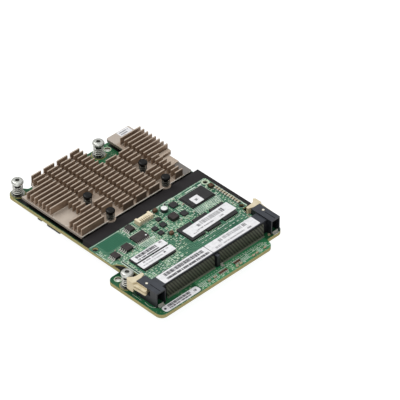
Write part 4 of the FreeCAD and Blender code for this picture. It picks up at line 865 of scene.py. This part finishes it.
# bundles of wide traces: between the driver chip and the left labels, behind the large label, in front of the labels
for k in range(5):
    silk_line([(-23.4 + 0.5 * k, -22.9 - 1.05 * k), (-10.6 - 0.9 * k, -22.9 - 1.05 * k)], MOD, 0.38)
    silk_line([(20.4, -22.2 - 0.98 * k), (40.0 - 0.4 * k, -22.2 - 0.98 * k)], MOD, 0.34)
for k in range(7):
    silk_line([(3.0 + 5.0 * k, -43.2 - 0.3 * (k % 2)), (6.4 + 5.0 * k, -43.2 - 0.3 * (k % 2))], MOD, 0.3)
# rows of terminals under the memory chips' sides
for x0, x1 in ((-36.4, -25.8), (-23.0, -12.5), (0.3, 10.8), (12.6, 23.0), (25.9, 36.3)):
    for i in range(9):
        xx = x0 + (i + 0.5) * (x1 - x0) / 9
        pads.box(xx - 0.18, -28.25, MOD, xx + 0.18, -27.35, MOD + 0.03)
        pads.box(xx - 0.18, -42.4, MOD, xx + 0.18, -41.55, MOD + 0.03)
# outlines round the larger parts, edge lines and rings round the holes
silk_rect(20.3, -21.4, 39.6, -8.2, MOD)
silk_rect(-12.4, -11.2, 0.1, -6.0, MOD)
silk_line([(-40.5, -51.0), (-40.5, -46.6)], MOD, 0.42)
silk_line([(-40.5, -41.8), (-40.5, -26.2)], MOD, 0.42)
silk_line([(-39.1, -51.0), (-39.1, -26.2)], MOD, 0.30)
dark_l = Mesh()
for q in ((-40.22, -51.0, -39.3, -26.2), (-38.9, -51.0, -38.5, -27.0)):
    dark_l.box(q[0], q[1], MOD, q[2], q[3], MOD + 0.015, chamfer=0.004)
dark_l.make("mask_lines", MAT["dark_line"])
silk_line([(-44.9, -23.6), (-45.1, -10.8)], MOD, 0.30)
silk_line([(-44.6, -5.4), (44.6, -5.4)], MOD, 0.22)
silk_line([(45.2, -10.6), (45.2, -39.4)], MOD, 0.36)
silk_bar(27.6, -7.6, 36.0, -6.9, MOD)
silk_bar(37.4, -8.0, 40.4, -7.2, MOD)
pads.ring(43.1, -8.1, 1.55, 2.35, MOD, MOD + 0.035, 36)
pads.ring(43.1, -8.1, 1.50, 1.56, MOD - 1.0, MOD + 0.03, 36)
rim = Mesh()
rim.ring(-43.1, -8.1, 1.50, 1.80, MOD, MOD + 0.03, 36)
rim.ring(42.8, -37.9, 1.28, 1.75, MOD, MOD + 0.03, 32)
rim.make("mask_rims", MAT["resist"])
dotm = Mesh()
for i in range(11):
    for j in range(6):
        cx, cy = -38.6 + 1.32 * i, -14.2 + 1.5 * j
        dotm.box(cx - 0.16, cy - 0.16, MOD, cx + 0.16, cy + 0.16, MOD + 0.015, chamfer=0.004)
dotm.make("mask_dot_grid", MAT["mask_dot"])

# main board: front strip, ear and the strip beside the heat sink
TAKEN_B = [(-47.0, -69.6, -19.4, -63.8), (7.4, -69.5, 12.6, -67.8), (20.4, -69.4, 25.6, -67.7), (-12.6, -67.6, -6.0, -66.2), (29.8, -69.0, 32.0, -67.5)]
# two ladders of narrow lands with a comb of ticks behind them
for x0, x1, y0 in ((-17.6, -4.0, -66.6), (12.6, 35.0, -66.8)):
    n = int((x1 - x0) / 0.95)
    for k in range(n):
        xx = x0 + 0.95 * k
        if clear_of(xx - 0.2, y0 - 0.9, xx + 0.2, y0 + 0.9, TAKEN_B, 0.1):
            silk_bar(xx - 0.17, y0 - 0.75, xx + 0.17, y0 + 0.75, TOP)
            TAKEN_B.append((xx - 0.2, y0 - 0.9, xx + 0.2, y0 + 0.9))
    silk_line([(x0, y0 - 1.15), (x1, y0 - 1.15)], TOP, 0.26)
    silk_line([(x0, y0 + 1.15), (x1, y0 + 1.15)], TOP, 0.22)
    TAKEN_B.append((x0, y0 - 1.3, x1, y0 + 1.3))
# brown arrays
for x0, y0, n in ((-2.8, -66.5, 5), (9.2, -66.1, 4)):
    for k in range(n):
        xx = x0 + 1.25 * k
        brown_b.box(xx - 0.42, y0 - 0.95, TOP + 0.02, xx + 0.42, y0 + 0.95, TOP + 0.62, chamfer=0.08)
        for yy in (y0 - 1.15, y0 + 0.9):
            ends.box(xx - 0.44, yy, TOP + 0.01, xx + 0.44, yy + 0.25, TOP + 0.64, chamfer=0.06)
        pads.box(xx - 0.40, y0 - 1.5, TOP, xx + 0.40, y0 - 1.15, TOP + 0.03)
        pads.box(xx - 0.40, y0 + 1.15, TOP, xx + 0.40, y0 + 1.5, TOP + 0.03)
    TAKEN_B.append((x0 - 0.7, y0 - 1.6, x0 + 1.25 * n, y0 + 1.6))
field(-18.6, -69.2, 35.6, -67.2, TOP, 1.2, 0.95, [(3, "pads"), (3, "bar"), (1, "dots"), (0.5, "tan")], TAKEN_B, 0.85, None)
field(-18.8, -69.3, -3.6, -64.7, TOP, 0.95, 0.8, [(4, "pads"), (3, "bar")], TAKEN_B, 0.92, None)
field(13.5, -69.3, 34.6, -64.5, TOP, 1.0, 0.85, [(4, "pads"), (3, "bar")], TAKEN_B, 0.85, None)
field(-4.0, -67.0, 12.6, -64.4, TOP, 1.2, 0.9, [(3, "pads"), (3, "bar"), (1, "dots")], TAKEN_B, 0.85, None)
silk_line([(-18.4, -64.7), (-4.0, -64.6), (14.0, -64.3), (33.8, -63.9)], TOP, 0.2)
silk_line([(-49.3, -54.6), (-49.9, -57.6), (-49.6, -60.4), (-48.1, -62.4)], TOP, 0.18)
silk_line([(-49.6, -52.0), (-49.6, -45.0)], TOP, 0.16)
for k in range(26):
    xx = -16.0 + 1.9 * k
    silk_bar(xx, -63.3, xx + 0.9, -63.05, TOP)
olive = Mesh()
for w in WHERE:
    cx, cy = XY[w]
    olive.ring(cx, cy, 4.10, 4.55, TOP, TOP + 0.03, 40)
    olive.ring(cx, cy, 3.15, 4.2, TOP - 2.4 - 0.03, TOP - 2.4, 40)
olive.make("screw_lands", MAT["olive"], slot="tinned_steel")
# the screws' springs: a wound wire under the collar
COIL_LOW, COIL_RISE, COIL_R, COIL_WIRE, COIL_TURNS = 11.03, 5.84, 2.8, 0.3, 4.5
for w in WHERE:
    cx, cy = XY[w]
    coil = Mesh()
    steps, sides = 144, 12
    slope = math.atan2(COIL_RISE / COIL_TURNS, 2 * math.pi * COIL_R)
    hoops = []
    for k in range(steps + 1):
        a = 2 * math.pi * COIL_TURNS * k / steps
        zc = COIL_LOW + COIL_RISE * k / steps
        out = Vector((math.cos(a), math.sin(a), 0.0))
        lift = Vector((math.sin(a) * math.sin(slope), -math.cos(a) * math.sin(slope), math.cos(slope)))
        mid = Vector((cx + COIL_R * math.cos(a), cy + COIL_R * math.sin(a), zc))
        hoops.append([coil.bm.verts.new((mid + (out * math.cos(b) + lift * math.sin(b)) * COIL_WIRE) * MM)
                      for b in (2 * math.pi * i / sides for i in range(sides))])
    for p, q in zip(hoops, hoops[1:]):
        for i in range(sides):
            coil.bm.faces.new((p[i], p[(i + 1) % sides], q[(i + 1) % sides], q[i]))
    coil.bm.faces.new(hoops[0][::-1])
    coil.bm.faces.new(hoops[-1])
    piece = coil.make("spring_wire_" + w, MAT["spring"], smooth=True, angle=50)
    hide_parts("screw_spring_" + w)
    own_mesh(piece)
for cx, cy in ((29.4, 59.8), (-46.6, -30.2)):
    brown_b.ring(cx, cy, 1.77, 1.82, TOP - 1.0, TOP + 0.02, 36)
    lead_m.ring(cx, cy, 1.77, 1.82, TOP - 2.4, TOP - 1.0, 36)
    pads.ring(cx, cy, 1.82, 2.35, TOP, TOP + 0.03, 36)
    pads.ring(cx, cy, 1.82, 2.35, TOP - 2.43, TOP - 2.4, 36)
TAKEN_S = [(-40.0, 5.0, -38.8, 62.0)]
# underside: passives between the chips and the connector
UNDER = [(-39.8, 41.0, -33.2, 44.3), (-39.8, 25.5, -30.6, 36.3), (-20.0, 12.0, -8.0, 24.0), (-24.0, 40.0, -12.0, 50.0), (12.0, 36.0, 24.0, 46.0),
         (30.0, 14.0, 44.0, 26.0), (-34.0, -30.0, -22.0, -16.0), (-38.0, -8.0, -26.0, 4.0), (-23.2, -14.2, 35.2, 5.8), (-40.0, 61.0, -31.0, 70.0),
         (17.0, 54.0, 33.0, 64.0), (-51.0, -42.5, -42.0, -28.0)]
for px in (-16.9, 26.5):
    for py in (7.4, 26.4):
        UNDER.append((px - 3, py - 3, px + 3, py + 3))
zb = TOP - 2.4
under_parts = []
for k in range(1500):
    x, y = rng.uniform(-38, 48), rng.uniform(-60, 60)
    L, W, H = rng.choice([(1.0, 0.5, 0.45), (1.6, 0.8, 0.7), (2.0, 1.2, 0.8)])
    gx, gy = round(x / 1.6) * 1.6, round(y / 1.6) * 1.6
    if rng.random() < 0.45 or not clear_of(gx - L / 2 - 0.3, gy - L / 2 - 0.3, gx + L / 2 + 0.3, gy + L / 2 + 0.3, UNDER, 0.2):
        continue
    UNDER.append((gx - L / 2 - 0.3, gy - L / 2 - 0.3, gx + L / 2 + 0.3, gy + L / 2 + 0.3))
    under_parts.append((gx, gy, L, W, H, rng.random() < 0.5, rng.choice(["tan", "dark"])))
for gx, gy, L, W, H, ax, kind in under_parts[:260]:
    m = tan_b if kind == "tan" else dark_bodies_and_shade
    hx, hy = (L / 2, W / 2) if ax else (W / 2, L / 2)
    e = L * 0.2
    if ax:
        m.box(gx - hx + e, gy - hy, zb - H, gx + hx - e, gy + hy, zb - 0.02)
        ends.box(gx - hx, gy - hy, zb - H, gx - hx + e, gy + hy, zb - 0.01)
        ends.box(gx + hx - e, gy - hy, zb - H, gx + hx, gy + hy, zb - 0.01)
    else:
        m.box(gx - hx, gy - hy + e, zb - H, gx + hx, gy + hy - e, zb - 0.02)
        ends.box(gx - hx, gy - hy, zb - H, gx + hx, gy - hy + e, zb - 0.01)
        ends.box(gx - hx, gy + hy - e, zb - H, gx + hx, gy + hy, zb - 0.01)

# pin marks and the white dot on the bus driver chip
marks = Mesh()
marks.lathe(-15.0, -19.6, [(0, 17.51), (0.55, 17.51), (0.55, 17.56), (0, 17.56)], 20)
marks.make("bus_driver_dot", MAT["white_top"], slot="label_white")
dots = Mesh()
for x, y, z, r in ((-18.8, -10.6, 18.01, 0.35), (-31.6, -22.2, 18.01, 0.4), (-40.8, -22.4, 18.01, 0.35), (22.8, -19.0, 17.54, 0.5),
                   (13.5, -12.1, 17.29, 0.25), (12.9, -21.7, 17.29, 0.25), (-35.0, -40.9, 17.54, 0.3)):
    dots.lathe(x, y, [(0, z), (r, z), (r, z + 0.02), (0, z + 0.02)], 16)
dots.make("pin_one_marks", MAT["chip_brown"], slot="chip_black")
# white top of the round capacitor
cap = Mesh()
cap.lathe(8.2, -10.4, [(0, 18.28), (1.95, 18.28), (2.0, 18.34), (1.9, 18.42), (1.3, 18.47), (0, 18.49)], 32)
cap.make("capacitor_top", MAT["white_top"], slot="label_white", smooth=True)
# the ends of the latch pins in the tower tops ride with the latches
for sx, body in ((-1, "latch_left"), (1, "latch_right")):
    q = Mesh()
    q.lathe(sx * 45.6, -52.3, [(0, 20.02), (0.55, 20.02), (0.50, 20.13), (0, 20.16)], 20)
    q.make("pivot_end_" + body, MAT["white_top"], body=body, slot="latch_ivory")

tan_b.make("chips_tan", MAT["tan"], slot="part_tan")
brown_b.make("chips_brown", MAT["brown"], slot="part_tan")
# dark chip bodies, with the patches of painted shadow beside leads and chips
dark_bodies_and_shade.make("chips_dark_and_shade", MAT["resist"], slot="part_dark")
ends.make("plated_ends", MAT["lead"], slot="tinned_steel")
lead_m.make("chip_leads", MAT["lead"], slot="tinned_steel")
pads.make("solder_pads", MAT["solder"], slot="tinned_steel")
silk.make("silkscreen", MAT["silk"], slot="label_white")

# ----------------------------------------------------------------------------
# floor, light and camera
# ----------------------------------------------------------------------------
fm = Mesh()
fm.box(-900, -900, -4, 900, 900, -0.02)
bmesh.ops.recalc_face_normals(fm.bm, faces=fm.bm.faces)
me = bpy.data.meshes.new("floor")
fm.bm.to_mesh(me)
fm.bm.free()
floor = bpy.data.objects.new("floor", me)
scene.collection.objects.link(floor)
g = G("floor_white")
g.bsdf.inputs["Emission Color"].default_value = (1, 1, 1, 1)
g.bsdf.inputs["Emission Strength"].default_value = 0.92
me.materials.append(g.done(g.mix(g.noise(0.004, 2.0), (0.20, 0.20, 0.20, 1), (0.23, 0.23, 0.23, 1)), 0.9, 0.0, 0.1))

world = bpy.data.worlds.new("studio")
scene.world = world
world.use_nodes = True
wt = world.node_tree
bg = wt.nodes["Background"]
tc = wt.nodes.new("ShaderNodeTexCoord")
sp = wt.nodes.new("ShaderNodeSeparateXYZ")
wt.links.new(tc.outputs["Generated"], sp.inputs[0])
rp = wt.nodes.new("ShaderNodeValToRGB")
wt.links.new(sp.outputs[2], rp.inputs[0])
el = rp.color_ramp.elements
el[0].position, el[0].color = 0.0, (0.10, 0.10, 0.10, 1)
el[1].position, el[1].color = 1.0, (1.0, 1.0, 1.0, 1)
for pos, val in ((0.25, 0.22), (0.5, 0.62), (0.75, 0.95)):
    e = el.new(pos)
    e.color = (val, val, val, 1)
wt.links.new(rp.outputs[0], bg.inputs[0])
bg.inputs[1].default_value = 0.95


def area(name, loc, target, size, power, color=(1, 1, 1)):
    L = bpy.data.lights.new(name, "AREA")
    L.shape = "RECTANGLE"
    L.size, L.size_y = size
    L.energy = power
    L.color = color
    o = bpy.data.objects.new(name, L)
    scene.collection.objects.link(o)
    o.location = loc
    o.rotation_euler = (Vector(target) - Vector(loc)).to_track_quat("-Z", "Y").to_euler()
    return o


area("key", (-0.25, 0.55, 0.75), (0, 0, 0), (0.6, 0.6), 4.2)
area("fill", (-0.7, -0.5, 0.5), (0, 0, 0), (0.5, 0.5), 1.2)

# the camera stands where the photograph's did: solved on the socket's contact comb
AZ, EL = math.radians(-44.5), math.radians(38.9)
FOCAL_PX, DIST = 2870.0, 1579.98
TX, TY = 167.307, 298.254
back = Vector((math.sin(AZ) * math.cos(EL), -math.cos(AZ) * math.cos(EL), math.sin(EL)))
right = Vector((math.cos(AZ), math.sin(AZ), 0.0))
up = right.cross(-back)
loc = -right * ((TX - 200) / FOCAL_PX * DIST) + up * ((TY - 200) / FOCAL_PX * DIST) + back * DIST
loc = loc + Vector((-38.2, -60.9, 10.0))
cam = bpy.data.cameras.new("camera")
cam.sensor_width = 36.0
cam.lens = FOCAL_PX * 36.0 / 400.0
cam.clip_start, cam.clip_end = 0.05, 20.0
cam_o = bpy.data.objects.new("camera", cam)
scene.collection.objects.link(cam_o)
M = Matrix.Identity(4)
for i in range(3):
    M[i][0], M[i][1], M[i][2], M[i][3] = right[i], up[i], back[i], loc[i] * MM
cam_o.matrix_world = M
scene.camera = cam_o
